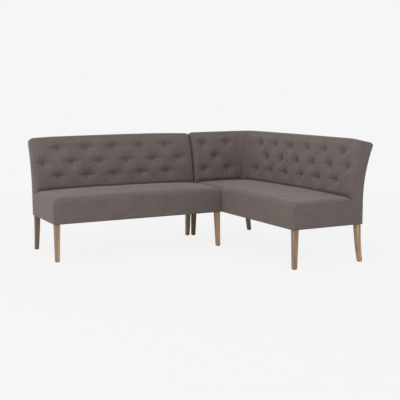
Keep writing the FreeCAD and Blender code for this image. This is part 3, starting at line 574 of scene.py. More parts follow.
def gentle(x, y, seed, reach):
    """Slow uneven waves of the cloth, between about -1 and 1, the same on every run."""
    total = np.zeros_like(x)
    generator = np.random.default_rng(seed)
    for _ in range(WAVES):
        angle = generator.uniform(0, math.tau)
        length = reach * generator.uniform(*WAVE_LENGTHS)
        phase = generator.uniform(0, math.tau)
        total += np.sin((x * math.cos(angle) + y * math.sin(angle)) * math.tau / length + phase)
    return total / (WAVES / 2)


# Tufting: how the cloth falls towards a button, and how it folds between two of them

RIM_ABOVE, RIM_BELOW = 0.8, 0.55
TUFT_ABOVE, ABOVE_POWER = 78.0, 3.5
TUFT_BELOW, BELOW_POWER = 92.0, 2.0
ASIDE_POWER, ASIDE_ROUND = 1.15, 5.0
OVERLAP_SHARE = 0.15
BUTTON_SAG = 4.0
BUTTON_GAP = 0.5
PUCKERS = 9
PUCKER_HEIGHT, PUCKER_TURN = 0.55, 1.7
PUCKER_AWAY, PUCKER_WIDTH = 22.0, 13.0
FOLD_WIDTH, FOLD_KEEL = 5.0, 1.0
FOLD_MIDDLE, FOLD_POWER = 0.45, 1.3
FOLD_TIP, FOLD_RUN = 0.02, 0.06
NEIGHBOUR_REACH = 177.0


def tufting(x, rise, buttons, puff, wings, folds, fade):
    """How far the cloth stands out of the front face: puffed squares, funnels and folds."""
    pulled = np.zeros_like(x)
    puckered = np.zeros_like(x)
    for number, (bx, br) in enumerate(buttons):
        away = np.hypot(x - bx, rise - br + BUTTON_SAG)
        rim = BUTTON_RADIUS * np.where(rise > br, RIM_ABOVE, RIM_BELOW)
        free = np.maximum(0.0, 1.0 - rim / np.maximum(away, 1.0))
        aside = 1.0 - (np.hypot((x - bx) * free, ASIDE_ROUND) - ASIDE_ROUND) / wings
        above = np.maximum(0.0, 1.0 - (rise - br) * free / TUFT_ABOVE) ** ABOVE_POWER
        below = np.maximum(0.0, 1.0 + (rise - br) * free / TUFT_BELOW) ** BELOW_POWER
        pulled += np.maximum(0.0, aside) ** ASIDE_POWER * np.where(rise > br, above, below)
        swing = np.arctan2(rise - br, x - bx)
        near = np.exp(-((away - PUCKER_AWAY) / PUCKER_WIDTH) ** 2)
        puckered += PUCKER_HEIGHT * near * np.cos(PUCKERS * swing + PUCKER_TURN * number)
    pulled = np.minimum(pulled, 1.0 + OVERLAP_SHARE * (pulled - 1.0))
    height = puff * fade * (1.0 - pulled) - (TUFT_DEPTH + BUTTON_GAP) * np.minimum(pulled, 1.0)
    height += puckered
    for (ax, ar), (bx, br), depth in folds:
        length = math.hypot(bx - ax, br - ar)
        ux, ur = (bx - ax) / length, (br - ar) / length
        t = ((x - ax) * ux + (rise - ar) * ur) / length
        side = np.abs((x - ax) * ur - (rise - ar) * ux)
        inside = smooth((t + FOLD_TIP) / FOLD_RUN) * smooth((1 + FOLD_TIP - t) / FOLD_RUN)
        ends = np.abs(2 * np.clip(t, 0, 1) - 1) ** FOLD_POWER
        strength = FOLD_MIDDLE + (1 - FOLD_MIDDLE) * ends
        keel = np.exp(-np.hypot(side, FOLD_KEEL) / FOLD_WIDTH)
        height -= depth * strength * inside * keel * fade
    return height


def neighbours(rows):
    """Pairs of buttons that a diagonal fold joins."""
    return [(a, b) for lower, upper in zip(rows[:-1], rows[1:]) for a in lower for b in upper
            if abs(a[0] - b[0]) < NEIGHBOUR_REACH]


def arch(value):
    """From 0 up to 1 and back to 0 as a value goes from 0 to 1."""
    return np.sin(np.pi * np.clip(value, 0, 1))


def quarter(steps, first=0):
    """Sine and cosine at each step of a quarter turn."""
    angles = [math.radians(90.0) * step / steps for step in range(first, steps + 1)]
    return [(math.sin(angle), math.cos(angle)) for angle in angles]


def spread(low, high, step):
    count = max(2, int(round((high - low) / step)))
    return [low + (high - low) * i / count for i in range(count + 1)]


# Rounded ends, a little squarer than a circle

END_STEPS = 12
END_POWERS = {OPEN_ROUND: 2 / 2.6, JOINT_ROUND: 2 / 3.0}


def rounded_end(place, rounding, sign):
    """Stations of an end that curves away, as place and draw, from the end inwards."""
    power = END_POWERS[rounding]
    return [(place + sign * rounding * (1 - cosine ** power), rounding * (1 - sine ** power))
            for sine, cosine in quarter(END_STEPS)]


def end_draw(away, rounding):
    """How far a rounded end has drawn in at a distance from that end."""
    if not rounding or away >= rounding:
        return 0.0
    power = END_POWERS[rounding]
    cosine = (1 - max(away, 0.0) / rounding) ** (1 / power)
    return rounding * (1 - max(0.0, 1 - cosine ** 2) ** (power / 2))


# Inner corner of the two backs, rounded by the stuffing

FILL_LOW, FILL_HIGH = 50.0, 110.0
FILL_HEIGHT = 330.0
FILL_START, FILL_RUN = 478.0, 9.0
FILL_DEPTH = 60.0


def corner_fill(away, z):
    """Round of the inner corner, wider to the top: shifts along and out of the back."""
    size = FILL_LOW + (FILL_HIGH - FILL_LOW) * smooth((z - SEAT_TOP) / FILL_HEIGHT)
    swing = math.pi / 4 * np.clip(1 - away / size, 0.0, 1.0)
    along = np.where(away < size, size * (1 - np.sin(swing)) - away, 0.0)
    return along, size * (1 - np.cos(swing))


# Line of the top edge. The drops fade out over the timber behind the front edge.

BENCH_CROWN, BENCH_PEAK, BENCH_HANG = 9.5, 0.68, 0.4
SHORT_CROWN, SHORT_RISE = 7.0, 3.5
LONG_CROWN, LONG_PEAK, LONG_POWER = 10.5, 0.15, 1.4
END_DROP, END_REACH, END_DEPTHS = 10.0, 170.0, (25.0, 45.0)
JOINT_DROP, JOINT_REACH, JOINT_DEPTHS = 4.5, 38.0, (44.0, 20.0)


def depth_share(y, z, start, span):
    """From 0 to 1 over a span of depth from a back's rear face."""
    depth = np.hypot(DEPTH + CURVE_RADIUS - y, z - CURVE_START) - CURVE_RADIUS
    return np.clip((depth - start) / span, 0.0, 1.0)


def joint_drop(away, y, z):
    return JOINT_DROP * (1 - smooth(away / JOINT_REACH)) * depth_share(y, z, *JOINT_DEPTHS)


def end_drop(away, y, z):
    return END_DROP * (1 - smooth(away / END_REACH)) * depth_share(y, z, *END_DEPTHS)


def top_crown(module, share, y, z):
    """How much fuller the top edge is along a back, and how its front hangs at an open end."""
    if module == "bench":
        reach = np.where(share < BENCH_PEAK, (BENCH_PEAK - share) / BENCH_PEAK,
                         (share - BENCH_PEAK) / (1 - BENCH_PEAK))
        crown = BENCH_CROWN * (1 - reach ** 2) - joint_drop((1 - share) * BENCH_LENGTH, y, z)
        return crown - BENCH_HANG * end_drop(share * BENCH_LENGTH, y, z)
    if module == "short":
        return SHORT_CROWN + SHORT_RISE * share - joint_drop(share * DEPTH, y, z)
    past = np.clip((share - LONG_PEAK) / (1 - LONG_PEAK), 0.0, 1.0)
    crown = LONG_CROWN * (1 - past ** LONG_POWER)
    return crown - end_drop((1 - share) * CORNER_LENGTH, y, z)


def lifted(y, z, lift):
    """Side view points moved up along the bend of the back, so its faces stay in place."""
    lean = np.arctan2(np.maximum(z - CURVE_START, 0.0), DEPTH + CURVE_RADIUS - y)
    return y + lift * np.sin(lean), z + lift * np.cos(lean)


# Padded backs

CROWN_REACH = 130.0
MITRE_CLEAR = 0.15
FAR = 400.0
EDGE_RATE = 1.2
SEAM_FADE = 55.0
TOP_FADE_START, TOP_FADE = 6.0, 60.0
CREASE_HEIGHT, CREASE_FADE = 4.0, 30.0
BACK_WAVE, BACK_WAVE_REACH = 0.7, 190.0
SEAM_GROOVE, SEAM_GROOVE_WIDTH = 0.7, 4.0
CREASE_TUCK, CREASE_TUCK_WIDTH = 3.0, 5.0


def back_pad(name, module, length, start_round, end_round, rows, pleats, replaced, puff, wings,
             fold_depth, seed):
    """The tufted cushion of one back. No round at an end means a mitre there."""
    low = INSET + start_round if start_round else 0.0
    high = length - INSET - end_round if end_round else length
    stations = [(x, 0.0) for x in spread(low, high, FRONT_STEP)]
    if start_round:
        stations = rounded_end(INSET, start_round, 1)[:-1] + stations
    if end_round:
        stations += rounded_end(length - INSET, end_round, -1)[:-1][::-1]
    data = np.array([pad_profile(draw) for place, draw in stations])
    y, z, rise, ny, nz = (data[:, :, i] for i in range(5))
    x = np.repeat(np.array([place for place, draw in stations])[:, None], y.shape[1], axis=1)
    share = x / length
    top_rise = TOP_RISE - TOP_ROUND
    on_front = rise > OFF_FRONT
    hidden = np.arange(x.shape[1])[None, :] >= data.shape[1] - HIDDEN_ROWS
    before_top = np.where(on_front, rise - top_rise + CROWN_REACH, CROWN_REACH)
    raised = top_crown(module, share, y, z) * smooth(before_top / CROWN_REACH)
    y, z = lifted(y, z, np.where(hidden, 0.0, raised))
    away = np.full_like(x, FAR)
    if not start_round:
        edge = DEPTH - y + MITRE_CLEAR
        x = edge + share * (length - edge)
        away = x - edge
    if not end_round:
        edge = y - MITRE_CLEAR
        x = share * edge
        away = edge - x
    seam = np.minimum(FAR, away)
    if start_round:
        seam = np.minimum(seam, np.maximum(x - INSET, 0.0) * EDGE_RATE)
    if end_round:
        seam = np.minimum(seam, np.maximum(length - INSET - x, 0.0) * EDGE_RATE)
    crease = rise - (SEAT_TOP + CREASE_HEIGHT - CURVE_START)
    fade = smooth(seam / SEAM_FADE) * smooth((top_rise + TOP_FADE_START - rise) / TOP_FADE)
    fade = fade * smooth(crease / CREASE_FADE)
    buttons = [spot for row in rows for spot in row]
    folds = [(a, b, fold_depth) for a, b in neighbours(rows)] + pleats
    out = tufting(x, rise, buttons, puff, wings, folds, fade)
    out += BACK_WAVE * gentle(x, rise, seed, BACK_WAVE_REACH) * fade
    out -= SEAM_GROOVE * np.exp(-away / SEAM_GROOVE_WIDTH)
    out -= CREASE_TUCK * np.exp(-np.maximum(crease, 0.0) / CREASE_TUCK_WIDTH)
    out = np.where(on_front, out, 0.0)
    along, forward = corner_fill(away, z)
    shown = np.where(hidden, 0.0, smooth((z - FILL_START) / FILL_RUN))
    shown = shown * np.clip((DEPTH + BACK_LEAN - y) / FILL_DEPTH, 0.0, 1.0)
    along = along * shown * (-1.0 if start_round else 1.0)
    points = np.stack([x + along, y + ny * out - forward * shown, z + nz * out], axis=-1)
    piece = lofted(name, points, module, replaced)


def button_rows(starts, pitches, counts):
    """Buttons row by row from below, each as its place along the back and its rise."""
    rows = []
    for height, start, pitch, count in zip(ROW_HEIGHTS, starts, pitches, counts):
        rise = row_rise(height)
        rows.append([(start + pitch * number, rise) for number in range(count)])
    return rows


BENCH_ROWS = button_rows((199.0, 77.0, 207.0), (236.0, 236.0, 236.0), (5, 6, 5))
SHORT_ROWS = button_rows((99.0, 218.0, 113.0), (234.0, 234.0, 234.0), (2, 1, 2))
LONG_ROWS = button_rows((298.0, 439.0, 298.0), (227.0, 223.0, 232.0), (6, 6, 6))
TOP_RISE = math.radians(SWEEP) * FRONT_RADIUS
SEAT_RISE = SEAT_TOP - CURVE_START


def edge_pleats(rows, above, below, first=None):
    """Straight pleats from the top row up to the edge and from the low row down to the seat."""
    pleats = [((x, rise), (x, TOP_RISE), above) for x, rise in rows[-1]]
    if first is not None:
        pleats[0] = (*pleats[0][:2], first)
    return pleats + [((x, rise), (x, SEAT_RISE), below) for x, rise in rows[0]]


# Module, length, and the rounds at the start and the end of each back
BENCH_BACK = ("bench", BENCH_LENGTH, OPEN_ROUND, JOINT_ROUND)
SHORT_BACK = ("short", DEPTH, JOINT_ROUND, 0.0)
LONG_BACK = ("corner", CORNER_LENGTH, 0.0, OPEN_ROUND)

back_pad("bench_back_cushion", *BENCH_BACK, BENCH_ROWS,
         edge_pleats(BENCH_ROWS, above=0.8, below=0.6),
         ("bench_back_tufted_cover", "bench_back_foam"),
         puff=10.0, wings=82.0, fold_depth=2.6, seed=3)
back_pad("short_back_cushion", *SHORT_BACK, SHORT_ROWS,
         edge_pleats(SHORT_ROWS, above=0.8, below=0.6),
         ("corner_short_back_tufted_cover", "corner_short_back_foam"),
         puff=13.0, wings=58.0, fold_depth=4.0, seed=5)
back_pad("long_back_cushion", *LONG_BACK, LONG_ROWS,
         edge_pleats(LONG_ROWS, above=1.4, below=1.0, first=3.4),
         ("corner_long_back_tufted_cover", "corner_long_back_foam"),
         puff=12.5, wings=72.0, fold_depth=9.6, seed=8)


# Covered buttons, each a dome by radius and height from its middle to under its rim

BUTTON_DOME = ((0.0, 6.4), (3.0, 6.2), (5.8, 5.4), (8.2, 4.1), (9.9, 2.4), (10.5, 0.9),
               (10.2, -0.3), (9.1, -1.2))
BUTTON_SIDES = 28
BUTTON_LIFT = 0.3
GATHERS, GATHER_SHARE, GATHER_RING = 14, 0.022, 4
BUTTON_STRETCH = 1.1


def button_set(name, module, rows, replaced):
    """Buttons covered in a darker copy of the cloth, painted shade for the hollow of the tuft,
    gathered under their rims, one in each tuft.
    """
    vertices = []
    faces = []
    uvs = []
    for spot_x, rise in (spot for row in rows for spot in row):
        angle = (rise - BUTTON_SAG) / FRONT_RADIUS
        foot = back_point(BACK - TUFT_DEPTH + BUTTON_LIFT, math.degrees(angle))
        sine, cosine = math.sin(angle), math.cos(angle)
        first = len(vertices)
        flat = []
        for ring, (radius, lift) in enumerate(BUTTON_DOME):
            for side in range(BUTTON_SIDES if ring else 1):
                swing = math.tau * side / BUTTON_SIDES
                gathered = 1.0
                if ring >= GATHER_RING:
                    gathered += GATHER_SHARE * math.cos(GATHERS * swing)
                u = radius * gathered * math.cos(swing)
                v = radius * gathered * math.sin(swing)
                vertices.append((spot_x + u, foot[0] + sine * v - cosine * lift,
                                 foot[1] + cosine * v + sine * lift))
                flat.append((u * MM * BUTTON_STRETCH, v * MM * BUTTON_STRETCH))
        turns = [(side, (side + 1) % BUTTON_SIDES) for side in range(BUTTON_SIDES)]
        last = 1 + (len(BUTTON_DOME) - 2) * BUTTON_SIDES
        loops = [(0, 1 + a, 1 + b) for a, b in turns]
        for base in range(1, last, BUTTON_SIDES):
            below = base + BUTTON_SIDES
            loops += [(base + a, below + a, below + b, base + b) for a, b in turns]
        loops.append(tuple(range(last, last + BUTTON_SIDES)))
        for loop in loops:
            faces.append(tuple(first + corner for corner in loop))
            uvs.extend(flat[corner] for corner in loop)
    new_piece(name, to_world(np.array(vertices), module), faces, uvs, SHADED_BUTTON_CLOTH,
              replaced)


button_set("bench_back_covered_buttons", "bench", BENCH_ROWS, ("bench_back_buttons",))
button_set("short_back_covered_buttons", "short", SHORT_ROWS, ("corner_short_back_buttons",))
button_set("long_back_covered_buttons", "corner", LONG_ROWS, ("corner_long_back_buttons",))


# Outside covers behind the backs

COVER_STEP = 14.0
COVER_RISE_STEP = 18.0
COVER_ANGLES = (1.0, 0.15)
COVER_STEPS = (0.3, 1.0, 2.0, 3.7, 6.0, 9.0)
EDGE_ANGLE = 1.2
COVER_LIFT_START, LIFT_REACH = 760.0, 100.0
COVER_TOP = 870.0
COVER_HOLLOW = 0.9
COVER_WAVE, COVER_WAVE_REACH, COVER_WAVE_HEIGHT = 0.35, 260.0, 580.0


def bend_angles(sweep, step, fine_step):
    """Angles up the bend, closer together near its top edge."""
    return spread(0.0, sweep - EDGE_ANGLE, step)[:-1] + spread(sweep - EDGE_ANGLE, sweep, fine_step)


def outside_cover(name, module, length, start_round, end_round, replaced, seed):
    """Cloth stretched over the rear of a back, from the apron's hem to the top edge."""
    path = [(0.0, z) for z in spread(APRON_BOTTOM, CURVE_START, COVER_RISE_STEP)[:-1]]
    path += [(angle, None) for angle in bend_angles(SWEEP, *COVER_ANGLES)]
    stations = spread(0.0, 1.0, COVER_STEP / length)
    if start_round:
        stations += [step / length for step in COVER_STEPS]
    if end_round:
        stations += [1 - step / length for step in COVER_STEPS]
    sections = []
    for share in sorted(stations):
        rows = []
        draw = max(end_draw(share * length, start_round), end_draw((1 - share) * length, end_round))
        sweep, rounding = rear_edge(draw)
        for face, points in ((0.0, path), (SKIN, path[::-1])):
            for angle, z in points:
                angle = angle * sweep / SWEEP
                y, height = DEPTH - face, z
                if z is None:
                    y, height = rear_rounded(*back_point(face, angle), sweep, rounding)
                lift = top_crown(module, share, y, height)
                lift = lift * smooth((height - COVER_LIFT_START) / LIFT_REACH)
                y, height = lifted(y, height, lift)
                low = INSET if start_round else DEPTH - y + MITRE_CLEAR
                high = length - INSET if end_round else y - MITRE_CLEAR
                rise = (height - APRON_BOTTOM) / (COVER_TOP - APRON_BOTTOM)
                hollow = COVER_HOLLOW * arch(share) ** 0.5 * arch(rise)
                turned = math.radians(angle)
                rows.append((low + (high - low) * share, y - math.cos(turned) * hollow,
                             height + math.sin(turned) * hollow))
        sections.append(rows)
    points = np.array(sections)
    wave = COVER_WAVE * gentle(points[..., 0], points[..., 2], seed, COVER_WAVE_REACH)
    points[..., 1] -= np.abs(wave) * arch((points[..., 2] - APRON_BOTTOM) / COVER_WAVE_HEIGHT)
    lofted(name, points, module, replaced)


outside_cover("bench_back_rear_cover", *BENCH_BACK, ("bench_back_outside_cover",), seed=13)
outside_cover("short_back_rear_cover", *SHORT_BACK, ("corner_short_back_outside_cover",),
              seed=14)
outside_cover("long_back_rear_cover", *LONG_BACK, ("corner_long_back_outside_cover",), seed=15)


# Seats

SEAT_CLEAR = 0.3
SEAT_STEP = 9.0
SLOPE_STEPS = 8
APRON_STEPS = 20
SEAT_RUN_STEPS = 56
REAR_STEPS = 6
SEAT_REAR_ROUND = 9.0
CROWN_FADE = 0.88
BOTTOM_LIP = 20.0
SEAT_WAVE, SEAT_WAVE_REACH = 1.1, 230.0
APRON_BELLY, APRON_WAVE, APRON_WAVE_REACH = 0.9, 0.6, 170.0
SEAT_END_FADE = 60.0
WAVE_BAND = 6.0
WAVE_FRONT, WAVE_FRONT_FADE, WAVE_REAR_FADE = 6.0, 40.0, 30.0
NEAR = 1.0


def seat_cushion(name, module, low, high, replaced, seed):
    """Crowned seat with its apron: foam under cloth above, a skirt over the rails below."""
    rear = DEPTH - BACK - SEAT_CLEAR
    start = [(low + SEAT_END_SLOPE * step / SLOPE_STEPS,
              SEAT_END_DRAW * (1 - step / SLOPE_STEPS) ** 2) for step in range(SLOPE_STEPS)]
    inner = [(x, 0.0) for x in spread(low + SEAT_END_SLOPE, high - SEAT_END_SLOPE, SEAT_STEP)]
    mirrored = [(low + high - x, draw) for x, draw in start][::-1]
    sections = []
    for x, draw in start + inner + mirrored:
        share = (x - low) / (high - low)
        bulge = SEAT_CROWN * (1 - CROWN_FADE * (2 * share - 1) ** 4)
        top = SEAT_TOP - draw + SEAT_LIFT * (1 - abs(2 * share - 1) ** 3)
        rise = top - SEAT_ROUND - APRON_BOTTOM
        rows = [(0.0, APRON_BOTTOM + rise * step / APRON_STEPS) for step in range(APRON_STEPS + 1)]
        rows += [(SEAT_ROUND * (1 - cosine), top - SEAT_ROUND * (1 - sine))
                 for sine, cosine in quarter(ROUND_STEPS, first=1)]
        for step in range(1, SEAT_RUN_STEPS):
            t = step / SEAT_RUN_STEPS
            rows.append((SEAT_ROUND + (rear - SEAT_ROUND) * t,
                         top + bulge * (1 - (2 * t - 1) ** 2)))
        rows += [(rear - SEAT_REAR_ROUND * (1 - sine), top - SEAT_REAR_ROUND * (1 - cosine))
                 for sine, cosine in quarter(REAR_STEPS)]
        rows += [(rear, FOAM_BOTTOM + BOTTOM_LIP), (rear, FOAM_BOTTOM), (rear * 0.5, FOAM_BOTTOM),
                 (SKIN, FOAM_BOTTOM), (SKIN, APRON_BOTTOM)]
        sections.append([(x, y, z) for y, z in rows])
    points = np.array(sections)
    x, y, z = (points[..., i] for i in range(3))
    within = smooth((x - low) / SEAT_END_FADE) * smooth((high - x) / SEAT_END_FADE)
    on_top = smooth((z - SEAT_TOP + WAVE_BAND / 2) / WAVE_BAND)
    on_top = on_top * smooth((y - WAVE_FRONT) / WAVE_FRONT_FADE)
    on_top = on_top * smooth((rear - y) / WAVE_REAR_FADE)
    points[..., 2] += SEAT_WAVE * gentle(x, y, seed, SEAT_WAVE_REACH) * within * on_top
    on_front = (y < NEAR) & (z > APRON_BOTTOM + NEAR)
    belly = arch((z - APRON_BOTTOM) / (SEAT_TOP - APRON_BOTTOM))
    full = APRON_BELLY + APRON_WAVE * gentle(x, z, seed + 1, APRON_WAVE_REACH)
    points[..., 1] -= np.where(on_front, full * belly * within, 0)
    piece = lofted(name, points, module, replaced)


seat_cushion("bench_seat_cushion", "bench", INSET, BENCH_LENGTH - INSET,
             ("bench_seat_cover", "bench_seat_foam"), seed=21)
seat_cushion("corner_seat_cushion", "corner", BACK + SEAT_CLEAR, CORNER_LENGTH - INSET,
             ("corner_seat_cover", "corner_seat_foam"), seed=24)


# Outlines of the end panels

PANEL_TOP = SEAT_TOP - SEAT_END_DRAW
OUTLINE_STEP = 12.0
OUTLINE_ANGLES = (0.6, 0.1)
TOP_FINE_STEP, TOP_STEP = 2.0, 4.0
NOSE_STEPS = 6
HANG_START = 740.0


def back_outline(draw):
    """Side view of a back's end: up the rear, over the top, down the front to the crease."""
    top, sweep, flat, round_points = top_round(draw)
    rear_sweep, rounding = rear_edge(draw)
    bend = [back_point(0.0, angle) for angle in bend_angles(rear_sweep, *OUTLINE_ANGLES)]
    bend += [back_point(depth, rear_sweep) for depth in spread(0.0, REAR_ROUND, TOP_FINE_STEP)[1:]]
    outline = [(DEPTH, z) for z in spread(APRON_BOTTOM, CURVE_START, OUTLINE_STEP)[:-1]]
    outline += [rear_rounded(y, z, rear_sweep, rounding) for y, z in bend]
    outline += [back_point(depth, top_angle(depth, flat, sweep, rear_sweep))
                for depth in spread(REAR_ROUND, flat, TOP_STEP)[1:-1]]
    outline += [(y, z) for y, z, *_ in round_points[::-1]]
    front = [back_point(BACK - draw, angle) for angle in spread(0.0, top, OUTLINE_ANGLES[0])]
    return outline + [point for point in front[::-1] if point[1] > PANEL_TOP + NEAR]


def panel_outline(draw, hang):
    """Side view of a module's end: the back and, before it, the seat with its apron."""
    crease = (DEPTH - BACK + draw, PANEL_TOP)
    shelf = [(y, PANEL_TOP) for y in spread(SEAT_ROUND, crease[0], OUTLINE_STEP)[::-1][1:]]
    nose = [(SEAT_ROUND * (1 - sine), PANEL_TOP - SEAT_ROUND * (1 - cosine))
            for sine, cosine in quarter(NOSE_STEPS, first=1)]
    face = [(0.0, z) for z in spread(APRON_BOTTOM, PANEL_TOP - SEAT_ROUND, OUTLINE_STEP)[::-1][1:]]
    hem = [(y, APRON_BOTTOM) for y in spread(0.0, DEPTH, OUTLINE_STEP)[1:-1]]
    outline = back_outline(draw) + [crease] + shelf + nose + face + hem
    if hang:
        outline = [lifted(y, z, -hang * end_drop(0.0, y, z) * smooth((z - HANG_START) / LIFT_REACH))
                   for y, z in outline]
    return outline


def joint_back_outline():
    """Side view of the short back's end at the joint, down to the hem behind the seat."""
    crease = (DEPTH - BACK + JOINT_ROUND, PANEL_TOP)
    face = [(DEPTH - BACK, z) for z in spread(APRON_BOTTOM, PANEL_TOP, OUTLINE_STEP)[::-1]]
    hem = [(y, APRON_BOTTOM) for y in spread(DEPTH - BACK, DEPTH, OUTLINE_STEP)[1:-1]]
    return back_outline(JOINT_ROUND) + [crease] + face + hem


# Thin sheets cut to an outline

def edge_distance(points, outline):
    outline = np.asarray(outline)
    nearest = np.full(len(points), 1e9)
    for start, end in zip(outline, np.roll(outline, -1, axis=0)):
        along = end - start
        length = max(along @ along, 1e-9)
        t = np.clip(((points - start) @ along) / length, 0, 1)
        nearest = np.minimum(nearest, np.linalg.norm(points - start - t[:, None] * along, axis=1))
    return nearest


def inside_points(outline, step, margin):
    """Evenly spaced points inside an outline, kept off its edge."""
    outline = np.array(outline)
    low, high = outline.min(0), outline.max(0)
    grid = np.stack(np.meshgrid(np.arange(low[0] + step / 2, high[0], step),
                                np.arange(low[1] + step / 2, high[1], step)), -1).reshape(-1, 2)
    inside = np.zeros(len(grid), bool)
    for (x1, y1), (x2, y2) in zip(outline, np.roll(outline, -1, axis=0)):
        crossing = (y1 > grid[:, 1]) != (y2 > grid[:, 1])
        if y1 != y2:
            inside ^= crossing & (grid[:, 0] < (x2 - x1) * (grid[:, 1] - y1) / (y2 - y1) + x1)
    return grid[inside & (edge_distance(grid, outline) > margin)]


def triangulated(outline, step, margin):
    """Points and triangles that fill an outline, and how far each point is from its edge."""
    points = [Vector(p) for p in (*outline, *inside_points(outline, step, margin))]
    flat, _, faces, *_ = delaunay_2d_cdt(points, [], [list(range(len(outline)))], 1, 1e-4)
    flat = np.array([tuple(p) for p in flat])
    return flat, faces, edge_distance(flat, outline)


def sheet(name, flat, faces, front, rear, module, material, replaced):
    """A thin piece: its triangles on a front and a rear face, and a rim between the two."""
    count = len(flat)
    polygons = [tuple(f) for f in faces] + [tuple(count + i for i in reversed(f)) for f in faces]
    edges = [(a, b) for face in faces for a, b in zip(face, face[1:] + face[:1])]
    paired = set(edges)
    polygons += [(b, a, count + a, count + b) for a, b in edges if (b, a) not in paired]
    both = np.concatenate([flat, flat]) * MM
    uvs = [tuple(both[i]) for polygon in polygons for i in polygon]
    vertices = to_world(np.concatenate([front, rear]), module)
    new_piece(name, vertices, polygons, uvs, material, replaced)


PANEL_STEP, PANEL_MARGIN = 7.0, 3.5
PANEL_PUFF, PUFF_REACH = 1.2, 28.0
PUFF_WAVE, PUFF_WAVE_REACH = 0.3, 240.0
PANEL_EASE, EASE_REACH = 2.2, 15.0


def end_panel(name, module, outer, inner, puff, outline, replaced, seed):
    """A flat cloth panel, its outer face a little full between the seams."""
    flat, faces, edge = triangulated(outline, PANEL_STEP, PANEL_MARGIN)
    uneven = 1 + PUFF_WAVE * gentle(flat[:, 0], flat[:, 1], seed, PUFF_WAVE_REACH)
    full = puff * (1 - np.exp(-edge / PUFF_REACH)) * uneven
    eased = -PANEL_EASE * (1 - smooth(edge / EASE_REACH))
    sign = 1.0 if outer > inner else -1.0
    front = np.column_stack([outer + sign * (full + eased), flat])
    rear = np.column_stack([np.full(len(flat), inner), flat])
    sheet(name, flat, faces, front, rear, module, CLOTH, replaced)


end_panel("bench_open_end_panel", "bench", 0.0, SKIN, PANEL_PUFF,
          panel_outline(OPEN_ROUND, hang=BENCH_HANG), ("bench_end_panels",), seed=31)
end_panel("bench_joint_end_panel", "bench", BENCH_LENGTH, BENCH_LENGTH - SKIN, 0.0,
          panel_outline(JOINT_ROUND, hang=0.0), (), seed=32)
end_panel("corner_open_end_panel", "corner", CORNER_LENGTH, CORNER_LENGTH - SKIN, PANEL_PUFF,
          panel_outline(OPEN_ROUND, hang=1.0), ("corner_near_panel",), seed=33)
end_panel("corner_joint_end_panel", "short", 0.0, SKIN, 0.0, joint_back_outline(),
          ("corner_joint_panel",), seed=34)


# Dust covers under the seats

LINING_EDGE, LEG_NOTCH = 20.0, 53.0
LINING_STEP, LINING_MARGIN = 30.0, 12.0
LINING_SKIN = 1.2
LINING_SAG, SAG_REACH = 1.6, 70.0


def dust_cover(name, module, length, replaced):
    """Black lining stapled under the frame, cut round the legs, hanging very slightly."""
    near, notch = LINING_EDGE, LEG_NOTCH
    right, rear = length - near, DEPTH - near
    far_x, far_y = length - notch, DEPTH - notch
    corners = [(notch, near), (far_x, near), (far_x, notch), (right, notch), (right, far_y),
               (far_x, far_y), (far_x, rear), (notch, rear), (notch, far_y), (near, far_y),
               (near, notch), (notch, notch)]
    outline = []
    for (x1, y1), (x2, y2) in zip(corners, corners[1:] + corners[:1]):
        steps = max(1, int(max(abs(x2 - x1), abs(y2 - y1)) / LINING_STEP))
        outline += [(x1 + (x2 - x1) * i / steps, y1 + (y2 - y1) * i / steps) for i in range(steps)]
    flat, faces, edge = triangulated(outline, LINING_STEP, LINING_MARGIN)
    level = APRON_BOTTOM - LINING_SAG * (1 - np.exp(-edge / SAG_REACH))
    low, high = (np.column_stack([flat, level - drop]) for drop in (LINING_SKIN, 0.0))
    sheet(name, flat, faces, low, high, module, LINING, replaced)


dust_cover("bench_lining", "bench", BENCH_LENGTH, ("bench_dust_cover",))
dust_cover("corner_lining", "corner", CORNER_LENGTH, ("corner_dust_cover",))


# Floor, backdrop and lights

BACKDROP = 0.9216
SKY = 0.86
FLOOR_HALF = 40.0
FLOOR_LEVEL = -0.0005
FLOOR_GREY = 0.75
SHADOW_SHARE, SHADOW_NEAR, SHADOW_FAR = 0.065, 1.6, 5.0
WHITE = (1.0, 1.0, 1.0, 1.0)


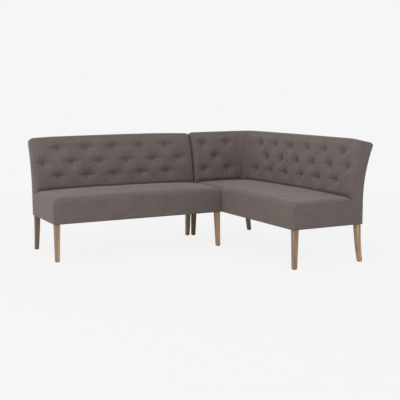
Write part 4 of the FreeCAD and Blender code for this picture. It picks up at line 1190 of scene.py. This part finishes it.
def floor_material():
    """Pale floor: its own colour far out, with the soft shadow of the object near it."""
    n = Nodes(bpy.data.materials.new("floor"))
    away = n.add("ShaderNodeVectorMath", {0: n.place()}, operation="LENGTH").outputs["Value"]
    near = n.ranged(away, SHADOW_SHARE, 0.0, start=SHADOW_NEAR, end=SHADOW_FAR)
    matt = n.add("ShaderNodeBsdfDiffuse", {"Color": (*grey(FLOOR_GREY), 1.0)}).outputs[0]
    glow = n.add("ShaderNodeEmission", {"Color": WHITE, "Strength": BACKDROP}).outputs[0]
    seen = n.add("ShaderNodeMixShader", {0: near, 1: glow, 2: matt}).outputs[0]
    both = n.add("ShaderNodeMixShader", {0: n.seen_ray(), 1: matt, 2: seen}).outputs[0]
    n.put(n.tree.nodes["Material Output"].inputs["Surface"], both)
    return n.owner


def make_floor():
    mesh = bpy.data.meshes.new("floor")
    corners = [(x * FLOOR_HALF, y * FLOOR_HALF, 0) for x, y in ((-1, -1), (1, -1), (1, 1), (-1, 1))]
    mesh.from_pydata(corners, [], [(0, 1, 2, 3)])
    mesh.materials.append(floor_material())
    floor = placed("floor", mesh)
    floor.location.z = FLOOR_LEVEL


def make_world():
    """A soft even light, and the backdrop's own white wherever it is seen or mirrored."""
    n = Nodes(bpy.data.worlds.new("studio"))
    bpy.context.scene.world = n.owner
    soft = n.tree.nodes["Background"]
    n.put(soft.inputs["Color"], WHITE)
    n.put(soft.inputs["Strength"], SKY)
    shown = n.add("ShaderNodeBackground", {"Color": WHITE, "Strength": BACKDROP}).outputs[0]
    mix = n.add("ShaderNodeMixShader", {0: n.seen_ray(), 1: soft.outputs[0], 2: shown}).outputs[0]
    n.put(n.tree.nodes["World Output"].inputs["Surface"], mix)


def area_light(name, place, target, size, energy, colour=(1.0, 1.0, 1.0)):
    data = bpy.data.lights.new(name, "AREA")
    data.shape = "RECTANGLE"
    data.size, data.size_y = size
    data.energy = energy
    data.color = colour
    light = placed(name, data)
    light.location = place
    light.rotation_euler = (Vector(target) - Vector(place)).to_track_quat("-Z", "Y").to_euler()


make_floor()
make_world()
area_light("left", place=(-4.5, -1.0, 2.9), target=(-0.2, 0.0, 0.5), size=(2.4, 2.0), energy=58.0,
           colour=(1.0, 0.975, 0.89))
area_light("front", place=(-1.2, -4.2, 4.2), target=(0.0, 0.0, 0.4), size=(2.6, 2.0), energy=58.0)

bpy.context.scene.view_settings.view_transform = "Standard"
